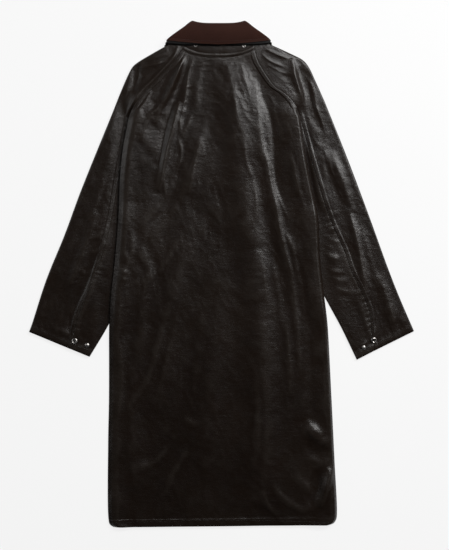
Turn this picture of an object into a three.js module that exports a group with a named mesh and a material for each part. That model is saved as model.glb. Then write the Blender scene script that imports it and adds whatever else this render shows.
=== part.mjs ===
// A long waxed cotton coat with raglan sleeves and a corduroy collar, laid flat with its back up.
// Millimetres. +X points to the viewer's right, +Y towards the collar and +Z up from the surface.
// Every piece of cloth is a thin wall. Each wall is a grid of points on the cloth's outer face,
// moved inwards by the thickness of the cloth and closed along its cut edges.
import * as THREE from 'three';

// Thickness of the cloths and the gap that is left at a seam.
const clothThickness = 1.6;
const corduroyThickness = 1.4;
const collarPlyGap = 0.5;
const seamGap = 0.3;
const neckSeamGap = 0.7;

// Heights of the layers over the surface that the coat lies on.
const panelStack = 7;
const sideSeamStack = 2 * clothThickness + seamGap;
const sideRollWidth = 24;
const sleeveUnderBody = 4.6;
const sleeveLoft = 7;
const sleeveRiseWidth = 34;
const bodyOverSleeve = 5.2;
const liftBeyondFold = 14;
const liftRampWidth = 40;
const liftUpperY = 426;
const liftUpperLength = 30;
const liftLowerY = -150;
const liftLowerLength = 60;
const sleeveUnderSeamShare = 0.38;
const frontOverlapLift = clothThickness + 2 * seamGap;

// The neck and the two fronts.
const neckCentreX = -7;
const frontOverlap = 70;
const overlapMargin = 42;
const overlapRampWidth = 34;
const neckHalfWidth = 91;
const neckBackY = 530;
const neckSideY = 566;
const neckFrontY = 471;
const neckBackZ = 16;
const neckFrontZ = 8;
const collarLeafHalfWidth = 131;
const collarLeafDepth = 140;
const neckFlatness = 0.25;
const neckSideSquareness = 0.8;
const neckBackSquareness = 16;
const neckBackRise = 36;

// Where the collar's leaf stops lifting what lies on it, as shares of the leaf's own size.
const leafLiftStart = 1.06;
const leafLiftLength = 0.3;
const leafSlopeStart = 0.9;
const leafSlopeLength = 1.2;
const leafLiftLowestY = 380;

// How folds fade: towards their own ends, towards the side edges, the neck seam and the sleeve's seam.
const foldEndFade = 0.7;
const foldSideFade = 30;
const foldNeckFade = 34;
const foldNeckMargin = 4;
const foldSeamMargin = 0.05;
const foldSeamFade = 0.3;
const neckFallLength = 40;
const shoulderRiseShare = 0.7;

// Angles round the neck, in degrees, from the middle of the back: where the raglan seams meet it.
const backRaglanAngle = 66;
const shoulderBackAngle = 82;
const shoulderFrontAngle = 100;
const frontRaglanAngle = 136;
const frontEndAngle = 197.6;

// How finely the walls are divided.
const raglanRows = 10;
const sideRows = 22;
const hemRows = 3;
const backColumns = 26;
const frontSideColumns = 3;
const frontColumns = 8;
const sleeveRows = 16;
const sleeveTopColumns = 6;
const sleeveFoldColumns = 4;
const sleeveBottomColumns = 3;
const collarFrontColumns = 4;
const studSides = 16;

// Outlines of the coat, each from the collar downwards, as x and y.
// The raglan seam, the body's side edge, the sleeve's outer fold, its back seam and its inner fold.
const outlines = {
  left: {
    side: -1,
    raglan: [[-92, 536], [-124, 500], [-160, 462], [-191, 431], [-210, 404], [-223, 376]],
    bodyEdge: [
      [-223, 376], [-237, 304], [-244, 239], [-248, 150], [-256, 44], [-266, -49], [-270, -121],
      [-271, -301], [-273, -409], [-272, -588], [-268.5, -601], [-260, -607.5],
    ],
    shoulder: [[-98, 566], [-150, 539], [-198, 512], [-213, 500], [-222, 485], [-240, 445], [-261, 392]],
    outerFold: [[-261, 392], [-338, 202], [-378, 94], [-422, -14], [-457, -122], [-463, -138]],
    backSeam: [[-223, 376], [-246, 246], [-272, 104], [-313, -28], [-337, -80], [-354, -133], [-361, -180]],
    innerFold: [
      [-212, 377], [-214, 347], [-205, 251], [-200, 143], [-210, 47], [-234, -37], [-269, -116],
      [-317, -198],
    ],
    frontRaglan: [[-76, 510], [-110, 484], [-150, 452], [-186, 420], [-208, 398], [-219, 374]],
  },
  right: {
    side: 1,
    raglan: [[72, 534], [97, 493], [126, 452], [155, 431], [176, 407], [189, 378]],
    bodyEdge: [
      [189, 378], [200, 304], [208, 258], [218, 208], [232, 140], [237, 40], [247, -52], [255, -121],
      [265, -302], [272, -446], [278, -570], [276.5, -587], [270, -598], [260, -602],
    ],
    shoulder: [[84, 566], [128, 547], [176, 526], [196, 515], [209, 500], [227, 463], [249, 414]],
    outerFold: [[249, 414], [305, 274], [359, 130], [398, 22], [426, -50], [463, -136]],
    backSeam: [
      [189, 378], [222, 256], [262, 131], [296, 54], [311, 11], [354, -85], [361, -145], [368, -183],
    ],
    innerFold: [
      [179, 379], [181, 347], [174, 263], [172, 179], [185, 95], [210, 23], [247, -52], [288, -128],
      [325, -205],
    ],
    frontRaglan: [[60, 510], [88, 484], [122, 452], [152, 420], [172, 400], [184, 375]],
  },
};
const hemCentreY = -605;
const hemCornerLength = 26;

// The largest folds of the cloth: soft ridges, and troughs where the height is below zero.
const backFolds = [
  { from: [-85, 524], via: [-118, 455], to: [-150, 385], width: 13, height: 7 },
  { from: [-92, 492], via: [-124, 400], to: [-146, 312], width: 11, height: -2.5 },
  { from: [-100, 392], via: [-128, 280], to: [-150, 170], width: 14, height: 8 },
  { from: [-88, 300], via: [-112, 200], to: [-176, 60], width: 16, height: -2.5 },
  { from: [66, 512], via: [132, 300], to: [204, -30], width: 14, height: -2 },
  { from: [60, 410], via: [106, 236], to: [166, -20], width: 15, height: 8 },
  { from: [30, 484], via: [70, 210], to: [114, -200], width: 28, height: 7 },
  { from: [114, -120], via: [122, -330], to: [108, -560], width: 26, height: 6 },
  { from: [212, -60], via: [224, -220], to: [222, -330], width: 16, height: 5 },
  { from: [212, -372], via: [226, -384], to: [244, -392], width: 13, height: 7 },
  { from: [258, -470], via: [250, -512], to: [236, -560], width: 11, height: 6 },
  { from: [-60, 150], via: [-120, -60], to: [-150, -330], width: 34, height: 4 },
  { from: [-200, -120], via: [-215, -330], to: [-205, -520], width: 24, height: 4 },
  { from: [0, 60], via: [-20, -200], to: [-40, -500], width: 36, height: 3.5 },
];
const sleeveFolds = [
  { from: [-208, 500], via: [-212, 462], to: [-213, 424], width: 9, height: 4 },
  { from: [-222, 420], via: [-245, 350], to: [-276, 250], width: 12, height: 4 },
  { from: [-300, 150], via: [-330, 60], to: [-372, -40], width: 14, height: 4 },
  { from: [-290, 60], via: [-318, -40], to: [-352, -128], width: 10, height: 3.5 },
  { from: [172, 512], via: [178, 465], to: [194, 396], width: 10, height: 7 },
  { from: [205, 462], via: [222, 410], to: [246, 336], width: 10, height: -2 },
  { from: [262, 300], via: [296, 210], to: [318, 150], width: 13, height: 4 },
  { from: [306, 160], via: [330, 60], to: [350, -62], width: 12, height: 5 },
  { from: [250, 60], via: [266, 52], to: [284, 54], width: 9, height: 5 },
  { from: [376, 0], via: [398, -60], to: [418, -118], width: 14, height: 4 },
];

// Sections across the collar, from the neck seam up the stand, over the roll and down the fall.
// Each gives the outside of the folded collar: half its width, its y and its height over the surface.
const collarSections = [
  { halfWidth: 87.7, backY: 530, sideY: 566, frontY: 471, backZ: 12.5, frontZ: 11.5, rise: 16 },
  { halfWidth: 76, backY: 562, sideY: 583, frontY: 492, backZ: 12.5, frontZ: 11.5, rise: 12 },
  { halfWidth: 62, backY: 591, sideY: 597, frontY: 512, backZ: 14, frontZ: 11.1, rise: 6 },
  { halfWidth: 57.5, backY: 600, sideY: 604.5, frontY: 519, backZ: 17, frontZ: 9.4, rise: 6 },
  { halfWidth: 63, backY: 602, sideY: 607.5, frontY: 521, backZ: 21.5, frontZ: 5, rise: 6 },
  { halfWidth: 72, backY: 598.5, sideY: 602, frontY: 517, backZ: 25.5, frontZ: 1.6, rise: 6 },
  { halfWidth: 84, backY: 588, sideY: 592, frontY: 502, backZ: 28, frontZ: 0.3, rise: 6 },
  { halfWidth: 104, backY: 571, sideY: 578, frontY: 480, backZ: 28.5, frontZ: 0, rise: 6 },
  { halfWidth: 122, backY: 558, sideY: 567, frontY: 455, backZ: 27.5, frontZ: 0, rise: 6 },
  { halfWidth: 129.5, backY: 549.5, sideY: 560, frontY: 432, backZ: 25, frontZ: 0, rise: 6 },
];

// Press studs: the two that hold a hood under the collar, and a ring and a cap on each cuff.
const hoodStudPlaces = [
  { name: 'hood_stud_left', x: -62, y: 541.5 },
  { name: 'hood_stud_right', x: 54, y: 541.5 },
];
const cuffStudPlaces = [
  { name: 'cuff_ring_left', sleeve: 'left', x: -353, y: -160, radius: 7 },
  { name: 'cuff_stud_left', sleeve: 'left', x: -323, y: -170, radius: 5.5 },
  { name: 'cuff_ring_right', sleeve: 'right', x: 366, y: -158, radius: 7 },
  { name: 'cuff_stud_right', sleeve: 'right', x: 342, y: -175.5, radius: 5.5 },
];
const hoodStudRadius = 4.8;
const hoodStudGap = 0.35;
const cuffStudGap = 0.5;

// The studs are laid on the cloth from these heights: under the collar's fall, and over the sleeves.
const underFallZ = 20;
const overSleeveZ = 100;

const waxedCotton = { color: 0x1e1a16, roughness: 0.45, metalness: 0 };
const waxedCottonUnder = { color: 0x1a1714, roughness: 0.5, metalness: 0 };
const corduroy = { color: 0x43271f, roughness: 0.9, metalness: 0 };
const nickel = { color: 0xb9b4ad, roughness: 0.3, metalness: 1 };

function mix(a, b, t) {
  return a + (b - a) * t;
}

function smooth(t) {
  const c = Math.min(1, Math.max(0, t));
  return c * c * (3 - 2 * c);
}

// A smooth line through a list of places, read by the fraction of its length.
function lineThrough(places) {
  const points = places.map(([x, y]) => new THREE.Vector3(x, y, 0));
  return new THREE.CatmullRomCurve3(points, false, 'centripetal');
}

// The x of an edge at a given y, with the edge listed from the top down.
function edgeX(edge, y) {
  if (y >= edge[0][1]) {
    return edge[0][0];
  }
  for (let k = 1; k < edge.length; k += 1) {
    const [x0, y0] = edge[k - 1];
    const [x1, y1] = edge[k];
    if (y >= y1) {
      return mix(x0, x1, (y0 - y) / (y0 - y1));
    }
  }
  return edge[edge.length - 1][0];
}

// The height that a list of folds adds at a place. A fold fades out towards both its ends.
function foldHeight(folds, x, y) {
  let total = 0;
  for (const fold of folds) {
    const legs = [[fold.from, fold.via, 0], [fold.via, fold.to, 0.5]];
    let nearest = Infinity;
    let fraction = 0;
    for (const [a, b, start] of legs) {
      const dx = b[0] - a[0];
      const dy = b[1] - a[1];
      const t = Math.min(1, Math.max(0, ((x - a[0]) * dx + (y - a[1]) * dy) / (dx * dx + dy * dy)));
      const distance = Math.hypot(x - a[0] - t * dx, y - a[1] - t * dy);
      if (distance < nearest) {
        nearest = distance;
        fraction = start + t / 2;
      }
    }
    const fade = Math.sin(Math.PI * fraction) ** foldEndFade;
    total += fold.height * fade * Math.exp(-((nearest / fold.width) ** 2));
  }
  return total;
}

// How far a place lies from the neck, as a share of the collar leaf's own size. 1 is its edge.
function leafReach(x, y) {
  const across = (x - neckCentreX) / collarLeafHalfWidth;
  const down = Math.max(0, neckSideY - y) / collarLeafDepth;
  return Math.hypot(across, down);
}

// How far the front leaf of the collar lifts whatever lies on it, near the neck.
function neckLift(x, y) {
  return neckFrontZ * (1 - smooth((leafReach(x, y) - leafLiftStart) / leafLiftLength));
}

// The upper cloth bridges from the collar down to the panels in one long slope.
function neckSlope(x, y) {
  return neckFrontZ * (1 - smooth((leafReach(x, y) - leafSlopeStart) / leafSlopeLength));
}

// How far the sleeve under the body's edge lifts the fronts and the back, on one side of the coat.
function sideLift(outline, x, y) {
  const beyondFold = outline.side * (edgeX(outline.innerFold, y) - x) - liftBeyondFold;
  const across = 1 - smooth(beyondFold / liftRampWidth);
  const upperEnd = smooth((liftUpperY - y) / liftUpperLength);
  const lowerEnd = 1 - smooth((liftLowerY - y) / liftLowerLength);
  return bodyOverSleeve * across * upperEnd * lowerEnd;
}

function bodyLift(x, y) {
  return sideLift(outlines.left, x, y) + sideLift(outlines.right, x, y);
}

// The outer face of the back. Below the underarm its side edge rolls down on to the front's edge.
function backHeight(x, y, fromEdge, edgeShare) {
  const belowNeck = Math.max(0, neckBackY - y);
  const nearNeck = (neckBackZ - neckFrontZ - panelStack) * Math.exp(-belowNeck / neckFallLength);
  const drop = (panelStack - sideSeamStack) * (1 - smooth(fromEdge / sideRollWidth)) * edgeShare;
  const foldShare = mix(1, smooth(fromEdge / foldSideFade), edgeShare);
  const clearOfNeck = smooth((neckBackY + foldNeckMargin - y) / foldNeckFade);
  const folds = foldHeight(backFolds, x, y) * foldShare * clearOfNeck;
  return panelStack + neckSlope(x, y) + bodyLift(x, y) + nearNeck - drop + folds;
}

// A place on the neck seam, at an angle in degrees from the middle of the back. Left is below zero.
function neckPlace(degrees) {
  const angle = THREE.MathUtils.degToRad(degrees);
  const across = Math.abs(Math.sin(angle));
  const towardsBack = Math.cos(angle);
  const x = neckCentreX + Math.sign(Math.sin(angle)) * neckHalfWidth * across ** neckSideSquareness;
  const backRise = neckBackRise * across ** neckBackSquareness;
  const frontRise = (neckSideY - neckFrontY) * across ** 2;
  const rise = towardsBack >= 0 ? backRise : frontRise;
  const y = (towardsBack >= 0 ? neckBackY : neckFrontY) + rise;
  const middle = (neckBackZ + neckFrontZ) / 2;
  const reach = (neckBackZ - neckFrontZ) / 2;
  const z = middle + reach * Math.sign(towardsBack) * Math.abs(towardsBack) ** neckFlatness;
  return new THREE.Vector3(x, y, z);
}

// The direction out of the cloth at each point of a grid. side turns it over.
function gridNormals(grid, side) {
  const rows = grid.length;
  const columns = grid[0].length;
  return grid.map((row, i) => row.map((point, j) => {
    const after = row[Math.min(j + 1, columns - 1)];
    const before = row[Math.max(j - 1, 0)];
    const below = grid[Math.min(i + 1, rows - 1)][j];
    const above = grid[Math.max(i - 1, 0)][j];
    const across = after.clone().sub(before);
    const down = below.clone().sub(above);
    return across.cross(down).normalize().multiplyScalar(side);
  }));
}

// One closed wall between two faces of the same grid. side is 1 where the cross product of the
// grid's columns and rows points out of the cloth, and -1 where it points into it.
function wall(name, outer, inner, side, finish) {
  const rows = outer.length;
  const columns = outer[0].length;
  const positions = [];
  for (const grid of [outer, inner]) {
    for (const row of grid) {
      for (const point of row) {
        positions.push(point.x, point.y, point.z);
      }
    }
  }
  const layer = rows * columns;
  const triangles = [];
  const quad = (a, b, c, d) => {
    if (side > 0) {
      triangles.push(a, b, c, a, c, d);
    } else {
      triangles.push(a, c, b, a, d, c);
    }
  };
  const at = (i, j) => i * columns + j;
  for (let i = 0; i < rows - 1; i += 1) {
    for (let j = 0; j < columns - 1; j += 1) {
      quad(at(i, j), at(i, j + 1), at(i + 1, j + 1), at(i + 1, j));
      quad(at(i, j) + layer, at(i + 1, j) + layer, at(i + 1, j + 1) + layer, at(i, j + 1) + layer);
    }
  }
  for (let i = 0; i < rows - 1; i += 1) {
    const last = columns - 1;
    quad(at(i, 0), at(i + 1, 0), at(i + 1, 0) + layer, at(i, 0) + layer);
    quad(at(i + 1, last), at(i, last), at(i, last) + layer, at(i + 1, last) + layer);
  }
  for (let j = 0; j < columns - 1; j += 1) {
    const last = rows - 1;
    quad(at(0, j + 1), at(0, j), at(0, j) + layer, at(0, j + 1) + layer);
    quad(at(last, j), at(last, j + 1), at(last, j + 1) + layer, at(last, j) + layer);
  }
  const geometry = new THREE.BufferGeometry();
  geometry.setAttribute('position', new THREE.Float32BufferAttribute(positions, 3));
  geometry.setIndex(triangles);
  geometry.computeVertexNormals();
  const mesh = new THREE.Mesh(geometry, new THREE.MeshStandardMaterial(finish));
  mesh.name = name;
  return mesh;
}

// Each normal evened out with its neighbours', for a wall that is folded tightly.
function evened(normals) {
  return normals.map((row, i) => row.map((normal, j) => {
    const sum = normal.clone().multiplyScalar(2);
    for (const neighbour of [normals[i - 1]?.[j], normals[i + 1]?.[j], row[j - 1], row[j + 1]]) {
      sum.add(neighbour ?? normal);
    }
    return sum.normalize();
  }));
}

function moved(grid, normals, distance) {
  return grid.map((row, i) => row.map((point, j) => point.clone().addScaledVector(normals[i][j], distance)));
}

// The two ends of each row of the body, from the neck down the raglan seams and the side edges.
function bodyRowEnds(row) {
  return ['left', 'right'].map((name) => {
    const outline = outlines[name];
    if (row <= raglanRows) {
      return lineThrough(outline.raglan).getPointAt(row / raglanRows);
    }
    const edge = lineThrough(outline.bodyEdge);
    const corner = hemCornerLength / edge.getLength();
    const fromHem = raglanRows + sideRows - row;
    const fraction = fromHem <= hemRows
      ? 1 - corner * fromHem / hemRows
      : (1 - corner) * (row - raglanRows) / (sideRows - hemRows);
    return edge.getPointAt(fraction);
  });
}

// A place on the body in plan, by row and by the fraction of the way from left to right.
function bodyPlace(row, across) {
  const [left, right] = bodyRowEnds(row);
  const place = left.clone().lerp(right, across);
  if (row === 0) {
    const angle = mix(-backRaglanAngle, backRaglanAngle, across);
    const onNeck = neckPlace(angle);
    return onNeck.setY(onNeck.y - neckSeamGap);
  }
  if (row === raglanRows + sideRows) {
    place.y += Math.sin(Math.PI * across) * (hemCentreY - (left.y + right.y) / 2);
  }
  return place;
}

function backPanel() {
  const outer = [];
  for (let row = 0; row <= raglanRows + sideRows; row += 1) {
    const edgeShare = smooth((row - raglanRows + 2) / 2);
    const line = [];
    for (let column = 0; column <= backColumns; column += 1) {
      const across = column / backColumns;
      const place = bodyPlace(row, across);
      const width = bodyPlace(row, 1).x - bodyPlace(row, 0).x;
      const fromEdge = width * Math.min(across, 1 - across);
      if (row > 0) {
        place.z = backHeight(place.x, place.y, fromEdge, edgeShare);
      }
      line.push(place);
    }
    line[0].x += seamGap / 2;
    line[backColumns].x -= seamGap / 2;
    outer.push(line);
  }
  const inner = outer.map((line) => line.map((p) => p.clone().setZ(p.z - clothThickness)));
  return wall('back_panel', outer, inner, -1, waxedCotton);
}

// A place on a front in plan below the underarm. Near the side its columns are those of the back.
function frontPlace(outline, row, column) {
  const sideEnd = outline.side < 0 ? 0 : 1;
  const fromSide = Math.min(column, frontSideColumns) / backColumns;
  const place = bodyPlace(row, Math.abs(sideEnd - fromSide));
  if (column > frontSideColumns) {
    const edge = bodyPlace(row, 0.5);
    edge.x = neckCentreX - outline.side * frontOverlap / 2;
    place.lerp(edge, (column - frontSideColumns) / (frontColumns - frontSideColumns));
  }
  return place;
}

// A front lies on the surface, and on the collar's leaf and the sleeve where they are under it.
function frontPanel(name, outline) {
  const isLeft = outline.side < 0;
  const frontRaglan = lineThrough(outline.frontRaglan);
  const onNeck = (fraction) => {
    const place = neckPlace(outline.side * mix(frontRaglanAngle, frontEndAngle, fraction));
    return place.setY(place.y - neckSeamGap);
  };
  const outer = [];
  for (let row = 0; row <= raglanRows + sideRows; row += 1) {
    const line = [];
    for (let column = 0; column <= frontColumns; column += 1) {
      const fraction = column / frontColumns;
      const place = frontPlace(outline, Math.max(row, raglanRows), column);
      if (row < raglanRows) {
        const down = row / raglanRows;
        const straight = onNeck(0).lerp(frontPlace(outline, raglanRows, 0), down);
        const bow = frontRaglan.getPointAt(down).sub(straight);
        place.lerp(onNeck(fraction), 1 - down).addScaledVector(bow, 1 - fraction);
      }
      const beyondOverlap = place.x - neckCentreX - frontOverlap / 2 - overlapMargin;
      const overlapPart = isLeft ? 0 : 1 - smooth(beyondOverlap / overlapRampWidth);
      place.z = neckLift(place.x, place.y) + bodyLift(place.x, place.y) + frontOverlapLift * overlapPart;
      line.push(place);
    }
    line[0].x -= outline.side * (seamGap / 2);
    outer.push(line);
  }
  const inner = outer.map((line) => line.map((p) => p.clone().setZ(p.z + clothThickness)));
  return wall(name, outer, inner, isLeft ? 1 : -1, waxedCottonUnder);
}

// The outer face of a sleeve's upper layer. It is pressed down where the body lies on it.
function sleeveHeight(outline, x, y) {
  const clear = outline.side * (x - edgeX(outline.bodyEdge, y));
  const free = smooth(clear / sleeveRiseWidth);
  return mix(sleeveUnderBody, sleeveLoft + foldHeight(sleeveFolds, x, y), free);
}

// The stations of a sleeve, from the neck over the shoulder and down to the cuff. Each gives, in
// plan, the seam on the upper layer, the outer fold, the inner fold and the seam underneath.
function sleeveStations(outline) {
  const stations = [];
  const raglan = lineThrough(outline.raglan);
  const shoulder = lineThrough(outline.shoulder);
  const frontRaglan = lineThrough(outline.frontRaglan);
  for (let k = 0; k < raglanRows; k += 1) {
    const t = k / raglanRows;
    stations.push({
      seam: raglan.getPointAt(t),
      outer: shoulder.getPointAt(t),
      under: frontRaglan.getPointAt(t),
      row: k,
    });
  }
  const outerFold = lineThrough(outline.outerFold);
  const backSeam = lineThrough(outline.backSeam);
  const innerFold = lineThrough(outline.innerFold);
  for (let k = 0; k <= sleeveRows; k += 1) {
    const t = k / sleeveRows;
    const outer = outerFold.getPointAt(t);
    const inner = innerFold.getPointAt(t);
    const under = inner.clone().lerp(outer, sleeveUnderSeamShare);
    stations.push({ seam: backSeam.getPointAt(t), outer, inner, under });
  }
  return stations;
}

// The ring of points from a seam on the upper layer round a fold to the seam underneath.
function foldedRing(seam, fold, under, heightAt, liftAt, bottomColumns) {
  const ring = [];
  const foldTop = heightAt(1, fold.x, fold.y);
  const foldBottom = liftAt(fold.x, fold.y);
  const radius = (foldTop - foldBottom) / 2;
  const inwards = new THREE.Vector3().subVectors(seam, fold).setZ(0).normalize();
  const centre = fold.clone().addScaledVector(inwards, radius);
  for (let j = 0; j < sleeveTopColumns; j += 1) {
    const t = j / sleeveTopColumns;
    const point = seam.clone().lerp(centre, t);
    point.z = heightAt(t, point.x, point.y);
    ring.push(point);
  }
  for (let j = 0; j <= sleeveFoldColumns; j += 1) {
    const angle = Math.PI * j / sleeveFoldColumns;
    const point = centre.clone().addScaledVector(inwards, -radius * Math.sin(angle));
    point.z = (foldTop + foldBottom) / 2 + radius * Math.cos(angle);
    ring.push(point);
  }
  for (let j = 1; j <= bottomColumns; j += 1) {
    const point = centre.clone().lerp(under, j / bottomColumns);
    point.z = liftAt(point.x, point.y);
    ring.push(point);
  }
  return ring;
}

// The angles of each column in turn, without the first, over stretches of even columns.
function anglesAlong(stretches) {
  const angles = [];
  for (const [start, end, count] of stretches) {
    for (let k = 1; k <= count; k += 1) {
      angles.push(mix(start, end, k / count));
    }
  }
  return angles;
}

// The end of the sleeve at the neck, which follows the neck seam.
function neckRing(outline) {
  const stretches = [
    [backRaglanAngle, shoulderBackAngle, sleeveTopColumns],
    [shoulderBackAngle, shoulderFrontAngle, sleeveFoldColumns],
    [shoulderFrontAngle, frontRaglanAngle, sleeveBottomColumns],
  ];
  const angles = [backRaglanAngle, ...anglesAlong(stretches)];
  return angles.map((degrees) => {
    const place = neckPlace(outline.side * degrees);
    return place.setY(place.y - neckSeamGap);
  });
}

// Upright normals along the two seams keep the neighbouring walls face to face there.
function uprightAtSeams(normals) {
  for (const row of normals) {
    row[0].set(0, 0, 1);
    row[row.length - 1].set(0, 0, -1);
  }
  return normals;
}

function sleeveTop(name, outline) {
  const grid = [];
  const level = (x, y) => (y > leafLiftLowestY ? neckLift(x, y) : 0);
  sleeveStations(outline).forEach((station, k) => {
    if (k === 0) {
      grid.push(neckRing(outline));
      return;
    }
    const seam = station.seam.clone();
    const under = station.under.clone();
    seam.x += outline.side * (seamGap / 2);
    under.x += outline.side * (seamGap / 2);
    const heightAt = (t, x, y) => {
      if (k >= raglanRows) {
        return sleeveHeight(outline, x, y);
      }
      const share = smooth((k - raglanRows + 2) / 2);
      const onSeam = backHeight(station.seam.x, station.seam.y, 0, share);
      const folds = foldHeight(sleeveFolds, x, y) * smooth((t - foldSeamMargin) / foldSeamFade);
      const free = sleeveLoft + neckSlope(x, y) + folds;
      return mix(onSeam, free, smooth(t / shoulderRiseShare));
    };
    grid.push(foldedRing(seam, station.outer, under, heightAt, level, sleeveBottomColumns));
  });
  const side = -outline.side;
  const normals = uprightAtSeams(gridNormals(grid, side));
  return wall(name, grid, moved(grid, normals, -clothThickness), side, waxedCotton);
}

function sleeveUnder(name, outline) {
  const grid = [];
  const level = () => 0;
  sleeveStations(outline).slice(raglanRows).forEach((station) => {
    const seam = station.seam.clone();
    const under = station.under.clone();
    seam.x -= outline.side * (seamGap / 2);
    under.x -= outline.side * (seamGap / 2);
    const heightAt = (t, x, y) => sleeveHeight(outline, x, y);
    grid.push(foldedRing(seam, station.inner, under, heightAt, level, sleeveBottomColumns));
  });
  const side = outline.side;
  const normals = uprightAtSeams(gridNormals(grid, side));
  return wall(name, grid, moved(grid, normals, -clothThickness), side, waxedCotton);
}

// The collar is two cloths, one inside the other, folded over the roll line.
function collarGrid() {
  const frontStep = (frontEndAngle - frontRaglanAngle) / frontColumns;
  const rightAngles = anglesAlong([
    [0, backRaglanAngle, Math.ceil(backColumns / 4)],
    [backRaglanAngle, shoulderBackAngle, sleeveTopColumns / 2],
    [shoulderBackAngle, shoulderFrontAngle, sleeveFoldColumns],
    [shoulderFrontAngle, frontRaglanAngle, sleeveBottomColumns],
    [frontRaglanAngle, frontRaglanAngle + collarFrontColumns * frontStep, collarFrontColumns],
  ]);
  const angles = [...rightAngles.map((degrees) => -degrees).reverse(), 0, ...rightAngles];
  return collarSections.map((section) => angles.map((degrees) => {
    const angle = THREE.MathUtils.degToRad(degrees);
    const across = Math.abs(Math.sin(angle));
    const towardsBack = Math.cos(angle);
    const start = towardsBack >= 0 ? section.backY : section.frontY;
    const power = towardsBack >= 0 ? section.rise : 2;
    const reach = (section.backZ - section.frontZ) / 2;
    const flattened = Math.sign(towardsBack) * Math.abs(towardsBack) ** neckFlatness;
    return new THREE.Vector3(
      neckCentreX + Math.sign(Math.sin(angle)) * section.halfWidth * across ** neckSideSquareness,
      start + (section.sideY - start) * across ** power,
      (section.backZ + section.frontZ) / 2 + reach * flattened,
    );
  }));
}

function collarPieces() {
  const grid = collarGrid();
  const side = -1;
  const normals = evened(gridNormals(grid, side));
  const underOuter = moved(grid, normals, -corduroyThickness - collarPlyGap);
  const underInner = moved(grid, normals, -corduroyThickness - collarPlyGap - clothThickness);
  return [
    wall('collar_upper', grid, moved(grid, normals, -corduroyThickness), side, corduroy),
    wall('collar_under', underOuter, underInner, side, waxedCotton),
  ];
}

// A press stud, round its own upright axis: a ring with a sunk middle, or a low cap.
function ringStud(name, radius) {
  const profile = [
    [0, 0], [0.93, 0], [1, 0.1], [0.94, 0.25], [0.74, 0.34], [0.55, 0.28], [0.42, 0.12], [0, 0.12],
  ];
  return studFrom(name, radius, profile);
}

function capStud(name, radius) {
  const profile = [[0, 0], [0.92, 0], [1, 0.12], [0.9, 0.3], [0.6, 0.44], [0.3, 0.48], [0, 0.48]];
  return studFrom(name, radius, profile);
}

function studFrom(name, radius, profile) {
  const points = profile.map(([r, z]) => new THREE.Vector2(r * radius, z * radius));
  const geometry = new THREE.LatheGeometry(points, studSides);
  geometry.rotateX(Math.PI / 2);
  const mesh = new THREE.Mesh(geometry, new THREE.MeshStandardMaterial(nickel));
  mesh.name = name;
  return mesh;
}

// Lays a stud on the cloth at a place, with its axis out of the cloth and a small gap under it.
// The cloth is found straight down from a height.
function layOn(stud, clothMeshes, x, y, gap, height) {
  const ray = new THREE.Raycaster(new THREE.Vector3(x, y, height), new THREE.Vector3(0, 0, -1));
  const hit = ray.intersectObjects(clothMeshes)[0];
  stud.position.copy(hit.point).addScaledVector(hit.face.normal, gap);
  stud.quaternion.setFromUnitVectors(new THREE.Vector3(0, 0, 1), hit.face.normal);
  return stud;
}

const coat = new THREE.Group();
const sleeves = {};
for (const [name, outline] of Object.entries(outlines)) {
  sleeves[name] = [
    sleeveTop(`sleeve_${name}_top`, outline),
    sleeveUnder(`sleeve_${name}_under`, outline),
  ];
  coat.add(...sleeves[name], frontPanel(`front_${name}`, outline));
}
coat.add(backPanel());
const [collarUpper, collarUnder] = collarPieces();
coat.add(collarUpper, collarUnder);
coat.updateMatrixWorld(true);

for (const place of hoodStudPlaces) {
  const stud = ringStud(place.name, hoodStudRadius);
  coat.add(layOn(stud, [collarUnder], place.x, place.y, hoodStudGap, underFallZ));
}
for (const place of cuffStudPlaces) {
  const makeStud = place.name.includes('ring') ? ringStud : capStud;
  const stud = makeStud(place.name, place.radius);
  coat.add(layOn(stud, sleeves[place.sleeve], place.x, place.y, cuffStudGap, overSleeveZ));
}

export default coat;
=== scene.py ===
"""A long waxed cotton coat with raglan sleeves and a needlecord collar, laid flat with its back up.

The tables and the cloth's forms are in millimetres, as a tailor measures them. MM turns them into
metres where a mesh is made. +X is the viewer's right, +Y towards the collar, +Z up from the floor.
"""
import math

import bpy
import numpy as np
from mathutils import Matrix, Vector


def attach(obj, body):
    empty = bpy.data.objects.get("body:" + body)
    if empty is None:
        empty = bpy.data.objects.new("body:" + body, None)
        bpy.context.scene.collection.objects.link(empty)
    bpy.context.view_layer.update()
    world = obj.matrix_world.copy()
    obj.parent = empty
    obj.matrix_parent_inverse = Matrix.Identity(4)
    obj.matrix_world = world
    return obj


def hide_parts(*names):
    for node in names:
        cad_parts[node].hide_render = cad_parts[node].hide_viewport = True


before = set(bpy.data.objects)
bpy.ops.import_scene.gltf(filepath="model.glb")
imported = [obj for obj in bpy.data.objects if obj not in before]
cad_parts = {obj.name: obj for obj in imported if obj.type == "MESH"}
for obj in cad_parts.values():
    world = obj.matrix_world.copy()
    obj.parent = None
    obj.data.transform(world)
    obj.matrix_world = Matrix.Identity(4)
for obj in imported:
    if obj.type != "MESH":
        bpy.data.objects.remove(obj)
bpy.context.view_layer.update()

MM = 0.001

# Cloths and gaps.
CLOTH = 1.6
CORD_CLOTH = 1.4
PLY_GAP = 0.5
SEAM_GAP = 0.3
NECK_GAP = 0.7

# Heights over the floor.
PANEL_STACK = 7.0
SIDE_STACK = 2 * CLOTH + SEAM_GAP
SLEEVE_LOFT = 7.0
SLEEVE_UNDER_BODY = 4.6
OVERLAP_LIFT = CLOTH + 2 * SEAM_GAP

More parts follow.
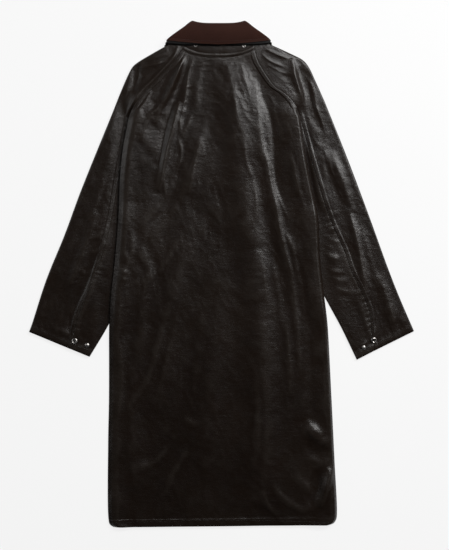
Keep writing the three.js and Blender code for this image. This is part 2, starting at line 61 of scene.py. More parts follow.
# How the sleeves lift the body's edges: in full up to LIFT_START past a sleeve's inner fold, then
# fading out over LIFT_REACH, and from above the armpit down to where the sleeve leaves the body.
BODY_OVER_SLEEVE = 5.2
LIFT_START = 14.0
LIFT_REACH = 64.0
LIFT_TOP = 470.0
LIFT_FOOT = -120.0
LIFT_FADE = 100.0

# The strip of sleeve that the body's edge presses flat, the rise beyond it, and the row of the
# raglan seam from which the sleeve sinks towards the armpit.
SLEEVE_VALLEY = 7.0
SLEEVE_RISE = 34.0
SINK_START = 7.4

# Troughs fade out above this depth, so that none cuts into the cloth below.
TROUGH_FLOOR = -2.4
TROUGH_SOFTNESS = 0.7

# A side edge of the body: the width in which it drops on to the front's edge, the width in which
# the folds fade in, and the soft roll's distance from the edge, its widths on both sides and height.
SIDE_EDGES = {
    "left": {"drop": 24, "fade": 30, "place": 13, "outside": 9, "inside": 26, "roll": 5.6},
    "right": {"drop": 8, "fade": 14, "place": 8, "outside": 6, "inside": 42, "roll": 6.4},
}

# The doubled cloth along the seams, hem and cuffs: its width and how far it stands proud.
RAGLAN_LIP = (8.0, 1.3)
SLEEVE_LIP = (8.0, 0.7)
HEM_LIP = (17.0, 0.7)
CUFF_LIP = (17.0, 0.6)
LIP_STEP = 2.5
EDGE_DIP = 0.9
EDGE_ROUNDING = 1.6

# The ridge and the hollow along the neck seam, each at its distance from it and of its width, and
# the puff of the sleeve along the left raglan seam.
NECK_RIDGE = 1.3
RIDGE_PLACE, RIDGE_WIDTH = 4.0, 2.4
HOLLOW_PLACE, HOLLOW_WIDTH = 10.0, 2.6
SEAM_PUFF = 2.6
PUFF_PLACE, PUFF_WIDTH = 6.5, 4.5

# Where the cloths come down from the collar's front leaf: the start and the length of the slope, in
# shares of the leaf's size.
FRONT_SLOPE = (1.06, 0.3)
BACK_SLOPE = (0.9, 3.4)
SLEEVE_SLOPE = (0.9, 1.2)

# Seeds of the random unevenness.
BACK_SEED, EDGE_SEED, SLEEVE_SEED, BULGE_SEED, GATHER_SEED = 3, 8, 11, 21, 31

# The neck and the fronts.
NECK_X = -7.0
OVERLAP = 70.0
OVERLAP_MARGIN = 42.0
OVERLAP_RAMP = 34.0
SIDE_STRIP = 3 / 26
SIDE_STRIP_COLUMNS = 3 / 8
NECK_HALF_WIDTH = 104.0
NECK_RISE = 36.0
NECK_ROUNDNESS = 2.4
NECK_SQUARENESS = 0.8
NECK_BACK_Y = 530.0
NECK_SIDE_Y = 566.0
NECK_FRONT_Y = 471.0
NECK_BACK_Z = 16.0
NECK_FRONT_Z = 8.0
NECK_FADE = 40.0
LEAF_HALF_WIDTH = 131.0
LEAF_DEPTH = 140.0
NECK_FLATNESS = 0.25
HEM_Y = -605.0
HEM_CORNER = 26.0

# Angles round the neck, in degrees from the middle of the back.
BACK_RAGLAN = 50.0
SHOULDER_BACK = 82.0
SHOULDER_FRONT = 100.0
FRONT_RAGLAN = 136.0
FRONT_END = 197.6

# Stations along the pieces: a raglan seam has 10, a side edge 22 and a sleeve below it 16.
RAGLAN_ROWS = 10
SIDE_ROWS = 22
HEM_ROWS = 3
SLEEVE_ROWS = 16
BODY_ROWS = RAGLAN_ROWS + SIDE_ROWS
SLEEVE_STATIONS = RAGLAN_ROWS + SLEEVE_ROWS
SLEEVE_LENGTH = 620.0

# How finely each cloth is divided, all even: cells down and across, where a sleeve has its cells
# across in three parts, on top, round its fold and underneath.
BACK_CELLS = (330, 228)
FRONT_CELLS = (120, 40)
SLEEVE_CELLS = (260, 76, 12, 24)
UNDER_CELLS = (200, 30, 12, 20)
COLLAR_CELLS = (64, 420)

# A crest as high as this over the cloth around it is worn pale.
CREST_HEIGHT = 0.35

# The lines of each side in plan, from the top down. A bulge beside the body's edge has its upper and
# lower end, its height and its reach.
OUTLINES = {
    "left": {
        "side": -1,
        "bulge": (360, 10, 2.5, 30),
        "raglan": [(-92, 536), (-124, 500), (-160, 462), (-191, 431), (-210, 404), (-223, 376)],
        "body_edge": [
            (-223, 376), (-237, 304), (-244, 239), (-248, 150), (-256, 44), (-266, -49), (-270, -121),
            (-271, -301), (-273, -409), (-272, -588), (-268.5, -601), (-260, -607.5),
        ],
        "shoulder": [
            (-98, 566), (-150, 539), (-198, 512), (-213, 500), (-222, 485), (-240, 445), (-261, 392),
        ],
        "outer_fold": [(-261, 392), (-338, 202), (-378, 94), (-422, -14), (-457, -122), (-463, -138)],
        "back_seam": [
            (-223, 376), (-246, 246), (-272, 104), (-313, -28), (-337, -80), (-354, -133), (-361, -180),
        ],
        "inner_fold": [
            (-212, 377), (-214, 347), (-205, 251), (-200, 143), (-210, 47), (-234, -37), (-269, -116),
            (-317, -198),
        ],
        "front_raglan": [(-76, 510), (-110, 484), (-150, 452), (-186, 420), (-208, 398), (-219, 374)],
    },
    "right": {
        "side": 1,
        "bulge": (320, 150, 4.5, 16),
        "raglan": [(72, 534), (97, 493), (126, 452), (155, 431), (176, 407), (189, 378)],
        "body_edge": [
            (189, 378), (200, 304), (208, 258), (218, 208), (232, 140), (237, 40), (247, -52), (255, -121),
            (265, -302), (272, -446), (278, -570), (276.5, -587), (270, -598), (260, -602),
        ],
        "shoulder": [(84, 566), (128, 547), (176, 526), (196, 515), (209, 500), (227, 463), (249, 414)],
        "outer_fold": [(249, 414), (305, 274), (359, 130), (398, 22), (426, -50), (463, -136)],
        "back_seam": [
            (189, 378), (222, 256), (262, 131), (296, 54), (311, 11), (354, -85), (361, -145), (368, -183),
        ],
        "inner_fold": [
            (179, 379), (181, 347), (174, 263), (172, 179), (185, 95), (210, 23), (247, -52), (288, -128),
            (325, -205),
        ],
        "front_raglan": [(60, 510), (88, 484), (122, 452), (152, 420), (172, 400), (184, 375)],
    },
}


# The large folds of the back. Where the cloth turns to the upper right it is steep and catches the light.
# A row is a fold: its width on the left and on the right of its line, its height, how crisp its crest
# is, and then the x and y of each point of the line.
BACK_FOLDS = [
    (11, 6, 7, 1.5, -84, 531, -119, 448, -144, 400, -160, 359),
    (8, 8, -4.2, 1.6, -76, 500, -92, 470, -112, 420, -134, 350, -152, 250),
    (13, 8, 7.5, 1.5, -100, 415, -116, 352, -131, 299, -143, 234, -152, 196),
    (10, 10, -3.2, 1.7, -74, 350, -99, 284, -108, 210, -136, 155, -171, 114, -180, 50),
    (12, 7, 3.4, 1.5, -50, 330, -66, 262, -80, 190),
    (10, 34, -4, 1.6, 66, 520, 84, 480, 97, 440, 122, 361, 134, 222, 150, 154, 170, 60),
    (20, 7, 4.2, 1.7, 80, 470, 89, 371, 92, 328, 109, 275, 114, 236, 133, 155, 143, 88, 162, 25, 176,
     -61, 184, -157, 188, -253),
    (42, 36, 9.5, 2.0, 14, 520, 34, 430, 44, 347, 50, 251, 58, 174, 66, 107, 80, 20, 84, -70),
    (44, 30, 10, 1.9, 84, 60, 94, -80, 102, -253, 104, -400, 94, -566),
    (12, 36, -3.2, 1.6, 190, 60, 206, -60, 216, -200, 220, -340, 214, -440),
    (20, 11, 6, 1.7, 204, -350, 222, -372, 242, -392),
    (13, 9, 9, 1.5, 262, -462, 252, -506, 236, -560),
    (10, 12, -6, 1.6, 232, -470, 222, -520, 212, -556),
    (34, 26, 4.2, 1.8, -60, 150, -120, -60, -150, -330),
    (24, 24, 4, 1.8, -200, -120, -215, -330, -205, -520),
    (36, 36, 3.5, 2, 0, 60, -20, -200, -40, -500),
]

# The smaller creases of the back, which lie between the large ones.
BACK_CREASES = [
    (5, 4, 3.0, 1.3, -88, 526, -106, 480, -132, 425),
    (8, 5, 2.6, 1.4, -66, 520, -80, 480, -86, 430, -96, 380),
    (12, 9, 1.6, 2, -48, 514, -58, 440, -60, 380),
    (5, 4, 2.2, 1.3, -86, 400, -98, 372, -98, 340),
    (5, 4, 1.8, 1.3, -70, 385, -84, 352, -98, 330),
    (6, 5, 2.2, 1.4, -118, 436, -160, 392, -200, 362),
    (8, 6, 2.4, 1.5, -150, 400, -178, 362, -192, 318),
    (5, 5, 2.4, 1.3, -168, 440, -186, 410, -206, 384),
    (5, 4, 2.6, 1.3, -104, 330, -96, 292, -110, 240),
    (6, 5, 2.2, 1.3, -120, 268, -136, 226, -134, 184),
    (5, 4, 1.8, 1.3, -96, 250, -104, 214, -124, 172),
    (12, 10, 1.5, 2, -30, 400, -52, 300, -60, 190),
    (8, 7, 1.2, 1.6, 14, 505, 30, 430, 42, 340),
    (7, 7, 1.4, 1.6, 46, 510, 62, 446, 80, 380),
    (6, 5, 2.0, 1.4, 54, 330, 58, 280, 74, 230),
    (6, 5, 1.8, 1.4, 74, 230, 84, 170, 84, 120),
    (8, 6, 1.2, 1.5, 116, 440, 132, 372, 152, 300),
    (9, 6, 1.4, 1.5, 164, 300, 182, 214, 206, 140),
    (5, 4, 2.4, 1.3, 128, 214, 140, 180, 160, 130),
    (7, 6, 2.4, 1.4, 150, 110, 172, 56, 184, 0),
    (7, 7, -2.0, 1.6, 176, 60, 196, -20, 206, -110),
    (10, 7, 2.0, 1.5, 120, 40, 136, -40, 148, -130),
    (14, 9, 3.0, 1.6, 146, -60, 160, -170, 166, -300),
    (8, 6, 1.6, 1.4, 92, 60, 106, -30, 112, -100),
    (12, 10, 1.6, 2, 80, -240, 86, -360, 76, -480),
    (13, 10, 2.2, 1.6, -96, 96, -150, 10, -206, -30),
    (5, 4, 4.0, 1.3, -250, 30, -238, 6, -222, 4),
    (5, 4, 2.8, 1.3, -258, 6, -244, -8, -224, -14),
    (7, 6, 2.2, 1.4, -238, 60, -226, 30, -240, -10),
    (8, 7, 1.8, 2, -218, 120, -214, 60, -224, 10),
    (15, 12, 2.2, 2, -170, 40, -190, -110, -192, -230),
    (10, 10, -2.0, 2, -110, -60, -142, -190, -168, -300),
    (13, 10, 2.2, 1.6, -140, -120, -182, -260, -232, -330),
    (13, 13, 1.4, 2, -40, -60, -60, -220, -74, -330),
    (10, 8, 2.0, 2, -246, -150, -240, -250, -250, -340),
    (8, 6, 1.8, 1.4, -90, -336, -76, -354, -50, -362),
    (9, 8, 1.4, 1.5, -120, -400, -160, -450, -226, -470),
    (10, 9, 1.3, 2, -80, -420, -112, -470, -140, -540),
    (8, 10, 4.5, 1.4, 202, -366, 224, -392, 256, -404),
    (10, 8, -4.0, 1.5, 200, -414, 230, -424, 262, -418),
    (9, 9, 2.0, 2, 206, -440, 236, -452, 262, -446),
    (6, 5, 2.4, 1.4, 246, -450, 262, -482, 258, -520),
    (12, 9, 2.0, 1.5, 170, -480, 206, -510, 236, -556),
    (9, 6, 2.4, 1.4, 120, -500, 152, -540, 206, -574),
    (7, 5, 2.2, 1.4, 96, -516, 112, -556, 140, -584),
]

# The large folds of the sleeves, and then their smaller creases.
SLEEVE_FOLDS = [
    (8, 8, -5, 1.6, -200, 506, -205, 476, -210, 434),
    (14, 12, 2.5, 1.6, -222, 430, -245, 350, -276, 250),
    (14, 12, 4.2, 1.6, -300, 150, -330, 60, -372, -40),
    (10, 10, 3.6, 1.6, -290, 60, -318, -40, -352, -128),
    (12, 5, 8.5, 1.4, 168, 520, 174, 500, 177, 477, 187, 443, 194, 415, 192, 392),
    (8, 13, -5, 1.6, 186, 500, 200, 455, 208, 419, 218, 383, 246, 336),
    (13, 12, 4.2, 1.6, 262, 300, 296, 210, 318, 150),
    (12, 9, 5, 1.5, 306, 160, 330, 60, 350, -62),
    (9, 7, 4.2, 1.5, 242, 54, 258, 44, 282, 36),
    (14, 14, 4, 1.7, 376, 0, 398, -60, 418, -118),
]
SLEEVE_CREASES = [
    (4, 5, 4.2, 1.3, -96, 530, -120, 518, -141, 508, -196, 496),
    (4, 5, 2.2, 1.3, -94, 538, -130, 528, -170, 514),
    (7, 7, -3.6, 1.6, -100, 519, -160, 479, -206, 428),
    (5, 4, 2.6, 1.3, -108, 506, -140, 470, -176, 440),
    (6, 5, 1.8, 1.4, -128, 528, -158, 500, -196, 470),
    (6, 5, 3.4, 1.3, -172, 470, -194, 446, -208, 414),
    (5, 4, 4.2, 1.2, -206, 412, -214, 388, -220, 358),
    (5, 5, 2.2, 1.3, -212, 420, -224, 392, -230, 360),
    (7, 6, 2.4, 1.5, -216, 490, -226, 450, -232, 410),
    (8, 7, 1.8, 2, -240, 430, -262, 360, -296, 270),
    (9, 9, -2.0, 2, -250, 300, -280, 210, -300, 150),
    (9, 7, 2.0, 1.5, -276, 240, -306, 160, -338, 92),
    (9, 9, 1.6, 2, -336, 150, -362, 70, -392, 0),
    (6, 5, 2.4, 1.3, -268, 120, -286, 98, -320, 84),
    (6, 5, 2.2, 1.3, -272, 84, -292, 60, -318, 50),
    (6, 5, 1.6, 1.4, -298, 12, -322, 2, -346, 12),
    (9, 9, 2.0, 2, -372, 10, -396, -50, -420, -92),
    (5, 4, 3.0, 1.3, -394, -132, -380, -136, -362, -146),
    (6, 6, -2.6, 2, -364, -92, -364, -124, -362, -152),
    (4, 4, 2.0, 1.3, -348, -172, -338, -176, -326, -168),
    (8, 8, 1.8, 2, -420, -60, -432, -100, -440, -140),
    (6, 5, 2.2, 1.4, -336, -90, -344, -120, -348, -152),
    (8, 8, 1.8, 2, -382, -70, -390, -112, -400, -150),
    (5, 4, 3.0, 1.3, 98, 544, 136, 526, 178, 512),
    (5, 4, 2.6, 1.3, 94, 530, 116, 512, 150, 498),
    (4, 4, 3.0, 1.2, 104, 508, 114, 500, 126, 496),
    (5, 4, 2.4, 1.3, 118, 500, 140, 486, 168, 480),
    (5, 4, 2.6, 1.3, 122, 484, 146, 466, 172, 456),
    (4.5, 4, 3.2, 1.2, 142, 464, 158, 450, 178, 440),
    (4, 4, 3.0, 1.2, 152, 452, 168, 438, 182, 422),
    (4, 4, 2.4, 1.2, 160, 440, 174, 426, 184, 408),
    (7, 6, 2.6, 1.4, 212, 470, 222, 430, 232, 390),
    (6, 5, 3.0, 1.3, 212, 440, 236, 380, 252, 334),
    (7, 6, 2.2, 1.4, 206, 356, 226, 320, 244, 300),
    (9, 9, -2.0, 2, 206, 330, 228, 280, 240, 220),
    (8, 8, 1.8, 2, 240, 330, 262, 262, 292, 190),
    (9, 9, 1.6, 2, 282, 320, 312, 240, 340, 170),
    (6, 5, 2.0, 1.4, 224, 250, 240, 214, 262, 196),
    (6, 5, 2.2, 1.3, 236, 170, 256, 150, 290, 146),
    (6, 5, 2.4, 1.3, 236, 130, 258, 112, 286, 112),
    (5, 4, 2.6, 1.2, 240, 100, 262, 84, 284, 78),
    (4, 4, 2.6, 1.2, 242, 78, 256, 66, 270, 62),
    (6, 5, 3.0, 1.3, 246, 22, 268, 8, 300, 6),
    (6, 5, 2.2, 1.3, 256, 0, 282, -14, 312, -10),
    (6, 5, 2.0, 1.3, 272, -30, 298, -42, 326, -36),
    (9, 8, 2.0, 2, 336, 120, 356, 40, 380, -30),
    (7, 6, 2.8, 1.4, 330, -60, 346, -110, 356, -150),
    (12, 9, 3.4, 1.6, 396, -72, 408, -104, 420, -140),
    (5, 4, 3.0, 1.3, 372, -118, 368, -138, 362, -158),
    (5, 4, 2.4, 1.3, 350, -160, 344, -168, 334, -176),
    (7, 7, 1.8, 2, 430, -96, 438, -120, 446, -136),
]

# The creases' heights as modelled, as shares of the tables'.
BACK_CREASE_SHARE = 0.85
SLEEVE_CREASE_SHARE = 0.55

# Sections across the folded collar, from the neck seam up the stand, over the roll and down the fall:
# half its width, its y at the back, sides and front, its z at the back and front, and its curve's power.
COLLAR_SECTIONS = [
    (104, 525, 561, 467, 9.4, 9.0, 2.4),
    (101, 531, 567, 472, 12.6, 11.2, 2.4),
    (84, 562, 584, 492, 13.4, 11.5, 4),
    (66, 591, 597, 512, 16, 11.1, 3.5),
    (58.5, 599.5, 604.5, 519, 18, 9.4, 3),
    (63, 601.2, 607.5, 521, 22, 5, 3),
    (72, 598.5, 602, 517, 25.5, 1.6, 3.5),
    (84, 588, 592, 502, 28, 0.3, 5),
    (104, 571, 578, 480, 28.3, 0, 5),
    (121, 558, 565, 455, 27, 0, 5),
    (128.5, 549, 555, 432, 24.2, 0, 4),
    (129.5, 547, 553, 430, 18.5, 0, 4),
]

# Up to this height the undercollar is the stand, in the coat's own cloth. Above it, the cloth is
# painted dark: painted shade under the collar's fall.
STAND_TOP = 17.2

# Where the needlecord ends, as a section number at angles from the middle of the back. Beyond it
# the undercollar shows, painted dark as painted shade, most of all at the points.
CORD_EDGE = [
    (0, 9.87), (15, 9.63), (25, 9.46), (35, 9.33), (50, 9.25), (70, 9.33), (90, 9.42), (104, 9.5),
    (136, 9.8), (180, 9.8),
]

# The press studs: node, kind, radius and place.
STUDS = [
    ("hood_stud_left", "ring", 4.2, -62, 548.5),
    ("hood_stud_right", "ring", 4.2, 54, 547),
    ("cuff_ring_left", "ring", 7, -353, -160),
    ("cuff_stud_left", "cap", 5.5, -323, -170),
    ("cuff_ring_right", "ring", 7, 366, -158),
    ("cuff_stud_right", "cap", 5.5, 342, -175.5),
]
STUD_LIFT = 0.4
# The height over each stud's cloth from which its place is found, under the collar's fall and over a cuff.
OVER = {"hood": 20, "cuff": 100}

# Half-sections of the studs, in radii, from the rim to the middle.
RING_PROFILE = [
    (0.86, -0.03), (0.95, 0.01), (1.0, 0.10), (0.97, 0.19), (0.90, 0.26), (0.80, 0.31), (0.70, 0.32),
    (0.60, 0.29), (0.53, 0.23), (0.49, 0.15), (0.47, 0.07),
]
SOCKET_PROFILE = [(0.47, 0.07), (0.40, 0.05), (0.30, 0.045), (0.24, 0.10), (0.16, 0.13), (0.0, 0.135)]
CAP_PROFILE = [
    (0.84, -0.03), (0.94, 0.01), (1.0, 0.09), (0.97, 0.17), (0.89, 0.23), (0.80, 0.25), (0.74, 0.24),
    (0.70, 0.27), (0.58, 0.36), (0.42, 0.42), (0.22, 0.455), (0.0, 0.465),
]
STUD_SIDES = 56

# How far the rows of stitches lie from their edges, and how far from its ends the collar's row stops,
# in columns of its grid.
RAGLAN_STITCHES = (1.8, 7.6)
NECK_STITCHES = (2.0, 7.4)
SLEEVE_STITCHES = (1.8, 7.2)
HEM_STITCHES = 15
CUFF_STITCHES = 14
COLLAR_STITCHES = 7
COLLAR_STITCH_END = 110

# A stitch, and the rings along it: place and girth as shares of its length and thickness, and height.
STITCH_LENGTH = 2.9
STITCH_PITCH = 3.9
STITCH_THICK = 0.34
STITCH_SIDES = 6
STITCH_RINGS = [
    (-0.5, 0.25, -0.12), (-0.34, 0.85, 0.10), (0.0, 1.0, 0.2), (0.34, 0.85, 0.10), (0.5, 0.25, -0.12),
]

# The spacing of a sleeve's gathers, in millimetres, and of the needlecord's wales, in metres.
GATHER_PITCH = 17.0
WALE_PITCH = 0.0019

# The studio, in metres: soft boxes, each with its place, what it faces, its size and its watts, and
# the photo's scale and middle.
FLOOR_HALF = 60.0
SOFT_BOXES = {
    "key_box": ((1.05, 1.7, 2.3), (0.05, 0.1, 0), (1.4, 1.0), 56),
    "fold_box": ((2.1, 1.5, 1.9), (0.05, 0.2, 0), (0.8, 1.0), 48),
    "side_box": ((-2.6, 0.9, 1.3), (0, 0, 0), (0.8, 1.6), 12),
}
PIXEL = 0.0024
PHOTO_ROWS = 550
PHOTO_CENTRE = (0.0072, -0.0012)
CAMERA_HEIGHT = 3.0
SENSOR = 36.0


def mix(a, b, t):
    return a + (b - a) * t


def smooth(t):
    c = np.clip(t, 0, 1)
    return c * c * (3 - 2 * c)


def distances(path):
    """How far along a path each of its points lies."""
    return np.concatenate([[0], np.cumsum(np.linalg.norm(np.diff(path, axis=0), axis=1))])


def unit(vectors):
    return vectors / np.maximum(np.linalg.norm(vectors, axis=-1, keepdims=True), 1e-9)


def soft_floor(rise):
    """Heights whose troughs fade out above TROUGH_FLOOR."""
    return TROUGH_FLOOR + np.logaddexp(0, (rise - TROUGH_FLOOR) / TROUGH_SOFTNESS) * TROUGH_SOFTNESS


def line_through(places, fractions):
    """Points of a smooth line through places, at fractions of its length."""
    p = np.array(places, float)
    p = np.vstack([2 * p[0] - p[1], p, 2 * p[-1] - p[-2]])
    s = np.linspace(0, 1, 40)[:, None]
    dense = []
    for k in range(len(p) - 3):
        a, b, c, d = p[k:k + 4]
        d0, d1, d2 = (math.sqrt(np.linalg.norm(v)) for v in (b - a, c - b, d - c))
        start = ((b - a) / d0 - (c - a) / (d0 + d1) + (c - b) / d1) * d1
        end = ((c - b) / d1 - (d - b) / (d1 + d2) + (d - c) / d2) * d1
        dense.append(
            (2 * s**3 - 3 * s**2 + 1) * b + (s**3 - 2 * s**2 + s) * start
            + (3 * s**2 - 2 * s**3) * c + (s**3 - s**2) * end
        )
    dense = np.vstack(dense)
    lengths = distances(dense)
    wanted = np.asarray(fractions) * lengths[-1]
    return np.stack([np.interp(wanted, lengths, dense[:, i]) for i in (0, 1)], axis=-1)


def line_length(places):
    return distances(line_through(places, np.linspace(0, 1, 200)))[-1]


def edge_x(edge, y):
    """The x of an edge at each y, with the edge listed from the top down."""
    table = np.array(edge[::-1], float)
    return np.interp(y, table[:, 1], table[:, 0])


def noise(x, y, seed):
    """Smooth random heights from -1 to 1, a cell a unit, the same on each run."""
    lattice = np.random.default_rng(seed).uniform(-1, 1, (64, 64))
    cell_x = np.floor(x).astype(int)
    cell_y = np.floor(y).astype(int)
    fx = smooth(x - cell_x)
    fy = smooth(y - cell_y)
    corners = [[lattice[(cell_x + i) % 64, (cell_y + j) % 64] for j in (0, 1)] for i in (0, 1)]
    low = mix(corners[0][0], corners[1][0], fx)
    high = mix(corners[0][1], corners[1][1], fx)
    return mix(low, high, fy)


def fold_height(folds, x, y):
    """The height that folds add at each place. A fold fades out towards both its ends."""
    shape = x.shape
    x = x.ravel()
    y = y.ravel()
    total = np.zeros(x.size)
    for number, (left, right, height, sharp, *line) in enumerate(folds):
        points = line_through(np.reshape(line, (-1, 2)), np.linspace(0, 1, 15))
        reach = 3 * max(left, right)
        low = points.min(0) - reach
        high = points.max(0) + reach
        near = np.flatnonzero((x > low[0]) & (x < high[0]) & (y > low[1]) & (y < high[1]))
        if near.size == 0:
            continue
        px, py = x[near], y[near]
        best = np.full(near.size, np.inf)
        along = np.zeros(near.size)
        turn = np.zeros(near.size)
        for k, (a, b) in enumerate(zip(points[:-1], points[1:])):
            leg = b - a
            t = np.clip(((px - a[0]) * leg[0] + (py - a[1]) * leg[1]) / (leg @ leg), 0, 1)
            dx = px - a[0] - t * leg[0]
            dy = py - a[1] - t * leg[1]
            distance = dx * dx + dy * dy
            closer = distance < best
            best = np.where(closer, distance, best)
            along = np.where(closer, (k + t) / (len(points) - 1), along)
            turn = np.where(closer, leg[0] * dy - leg[1] * dx, turn)
        width = np.where(turn < 0, left, right)
        uneven = 1 + 0.18 * np.sin(along * (5 + number % 4) + number)
        fade = np.sin(math.pi * along) ** 0.7 * uneven
        total[near] += height * fade * np.exp(-((np.sqrt(best) / width) ** sharp))
    return total.reshape(shape)


def neck_lift(x, y, slope):
    """How far the collar's front leaf lifts the cloth over it, which comes down in a slope."""
    start, length = slope
    across = (x - NECK_X) / LEAF_HALF_WIDTH
    down = np.maximum(0, NECK_SIDE_Y - y) / LEAF_DEPTH
    return NECK_FRONT_Z * (1 - smooth((np.hypot(across, down) - start) / length))


def body_lift(x, y):
    """How far the sleeves under the body's edges lift the fronts and the back."""
    ends = smooth((LIFT_TOP - y) / LIFT_FADE) * (1 - smooth((LIFT_FOOT - y) / LIFT_FADE))
    lift = 0
    for outline in OUTLINES.values():
        beyond = outline["side"] * (edge_x(outline["inner_fold"], y) - x) - LIFT_START
        lift = lift + BODY_OVER_SLEEVE * (1 - smooth(beyond / LIFT_REACH)) * ends
    return lift


def rumple(x, y, seed):
    """The shallow unevenness of a heavy waxed cloth, longer down the coat than across it. Its noise
    lies slantwise and is bent, so that the cells of the noise don't show."""
    bend = 26 * noise(x / 110 + 5, y / 130 + 2, seed + 9)
    across = 0.9 * x + 0.44 * y + bend
    along = 0.9 * y - 0.44 * x - bend
    broad = noise(across / 66 + 9, along / 140 + 3, seed)
    middle = noise(across / 26 + 0.3 * broad, along / 58, seed + 1)
    creased = 1 - np.abs(noise(along / 21 + middle, across / 15, seed + 2)) * 2
    fine = noise(x / 8 + 0.4 * y / 8, y / 9, seed + 3)
    return 1.2 * broad + 0.6 * middle + 0.3 * creased + 0.1 * fine


def back_height(x, y, from_edge, edge_share):
    """The outer face of the back, whose side edges roll down on to the fronts' edges. edge_share is
    0 along the raglan seams and 1 along the side edges."""
    def by_side(name):
        return np.where(x < 0, SIDE_EDGES["left"][name], SIDE_EDGES["right"][name])

    near_neck = np.exp(-np.maximum(0, NECK_BACK_Y - y) / NECK_FADE)
    near_neck = (NECK_BACK_Z - NECK_FRONT_Z - PANEL_STACK) * near_neck
    drop = (PANEL_STACK - SIDE_STACK) * (1 - smooth(from_edge / by_side("drop"))) * edge_share
    share = mix(1, smooth(from_edge / by_side("fade")), edge_share)
    share = share * smooth((NECK_BACK_Y + 4 - y) / 34)
    folds = fold_height(BACK_FOLDS, x, y) + BACK_CREASE_SHARE * fold_height(BACK_CREASES, x, y)
    calm = mix(0.7, 1, smooth((y + 260) / 300)) * smooth(from_edge / 40 + 0.15 * (1 - edge_share))
    rise = soft_floor((folds + rumple(x, y, BACK_SEED) * calm) * share)
    width = np.where(from_edge < by_side("place"), by_side("outside"), by_side("inside"))
    roll = by_side("roll") * np.exp(-(((from_edge - by_side("place")) / width) ** 2))
    roll = roll * edge_share * (0.8 + 0.3 * noise(y / 45, x * 0, EDGE_SEED))
    lift = neck_lift(x, y, BACK_SLOPE) + body_lift(x, y)
    return PANEL_STACK + lift + near_neck - drop + rise + roll


def neck_place(degrees):
    """Places on the neck seam, at angles from the middle of the back. Left is below zero."""
    angle = np.radians(degrees)
    across = np.abs(np.sin(angle))
    to_back = np.cos(angle)
    x = NECK_X + np.sign(np.sin(angle)) * NECK_HALF_WIDTH * across**NECK_SQUARENESS
    back_rise = NECK_RISE * across**NECK_ROUNDNESS
    rise = np.where(to_back >= 0, back_rise, (NECK_SIDE_Y - NECK_FRONT_Y) * across**2)
    y = np.where(to_back >= 0, NECK_BACK_Y, NECK_FRONT_Y) + rise
    middle = (NECK_BACK_Z + NECK_FRONT_Z) / 2
    reach = (NECK_BACK_Z - NECK_FRONT_Z) / 2
    z = middle + reach * np.sign(to_back) * np.abs(to_back) ** NECK_FLATNESS
    return np.stack([x, y, z], axis=-1)


def neck_weight(rows):
    """How far a row near the neck follows the neck seam's curve: 1 on the seam, 0 two rows down."""
    return np.clip(1 - np.asarray(rows, float) / 2, 0, 1) ** 2


def body_row_ends(outline, rows):
    """The end of each row of the body, down the raglan seam and then the side edge."""
    rows = np.asarray(rows, float)
    on_raglan = line_through(outline["raglan"], np.clip(rows / RAGLAN_ROWS, 0, 1))
    corner = HEM_CORNER / line_length(outline["body_edge"])
    from_hem = BODY_ROWS - rows
    fraction = np.where(
        from_hem <= HEM_ROWS,
        1 - corner * from_hem / HEM_ROWS,
        (1 - corner) * (rows - RAGLAN_ROWS) / (SIDE_ROWS - HEM_ROWS),
    )
    on_side = line_through(outline["body_edge"], np.clip(fraction, 0, 1))
    return np.where((rows <= RAGLAN_ROWS)[:, None], on_raglan, on_side)


def body_places(rows, across):
    """Places on the body in plan, by row and by the fraction of the way from left to right."""
    left = body_row_ends(OUTLINES["left"], rows)[:, None, :]
    right = body_row_ends(OUTLINES["right"], rows)[:, None, :]
    t = np.asarray(across, float)
    t = (t if t.ndim == 2 else np.broadcast_to(t, (len(rows), t.size)))[..., None]
    place = mix(left, right, t)
    angles = mix(-BACK_RAGLAN, BACK_RAGLAN, t[..., 0])
    on_neck = neck_place(angles)[..., :2] - [0, NECK_GAP]
    near_neck = neck_weight(rows)[:, None, None]
    start = mix(left[:1], right[:1], t) if rows[0] == 0 else 0
    place = place + (on_neck - start) * near_neck
    sag = np.clip(1 - (BODY_ROWS - np.asarray(rows)), 0, 1)[:, None]
    place[..., 1] += sag * np.sin(math.pi * t[..., 0]) * (HEM_Y - (left[..., 1] + right[..., 1]) / 2)
    return place


def grid_normals(grid):
    return unit(np.cross(np.gradient(grid, axis=1), np.gradient(grid, axis=0)))


def grid_steps(grid, axis):
    """How far along the cloth each point of a grid lies, in metres."""
    steps = np.linalg.norm(np.diff(grid, axis=axis), axis=-1)
    start = np.zeros_like(np.take(steps, [0], axis=axis))
    return np.cumsum(np.concatenate([start, steps], axis=axis), axis=axis) * MM


def crest(grid):
    """From 0 to 1: how sharply the cloth turns outwards at each point, where its wax wears pale and the
    needlecord is painted paler, partly as a painted highlight.
    """
    z = np.pad(grid[..., 2], 3, mode="edge")
    for axis in (0, 1):
        z = (np.roll(z, 1, axis) + z + np.roll(z, -1, axis)) / 3
    broad = z
    for _ in range(3):
        for axis in (0, 1):
            broad = (np.roll(broad, 2, axis) + broad + np.roll(broad, -2, axis)) / 3
    return np.clip((z - broad)[3:-3, 3:-3] / CREST_HEIGHT, 0, 1)


def solid(name, points, faces, materials, sharp=None):
    """A smooth piece of the scene, from points in metres, with edges where it turns by sharp degrees."""
    mesh = bpy.data.meshes.new(name)
    mesh.from_pydata(points, [], faces)
    mesh.shade_smooth()
    if sharp:
        mesh.set_sharp_from_angle(angle=math.radians(sharp))
    for material in materials:
        mesh.materials.append(material)
    piece = bpy.data.objects.new(name, mesh)
    bpy.context.scene.collection.objects.link(piece)
    return piece


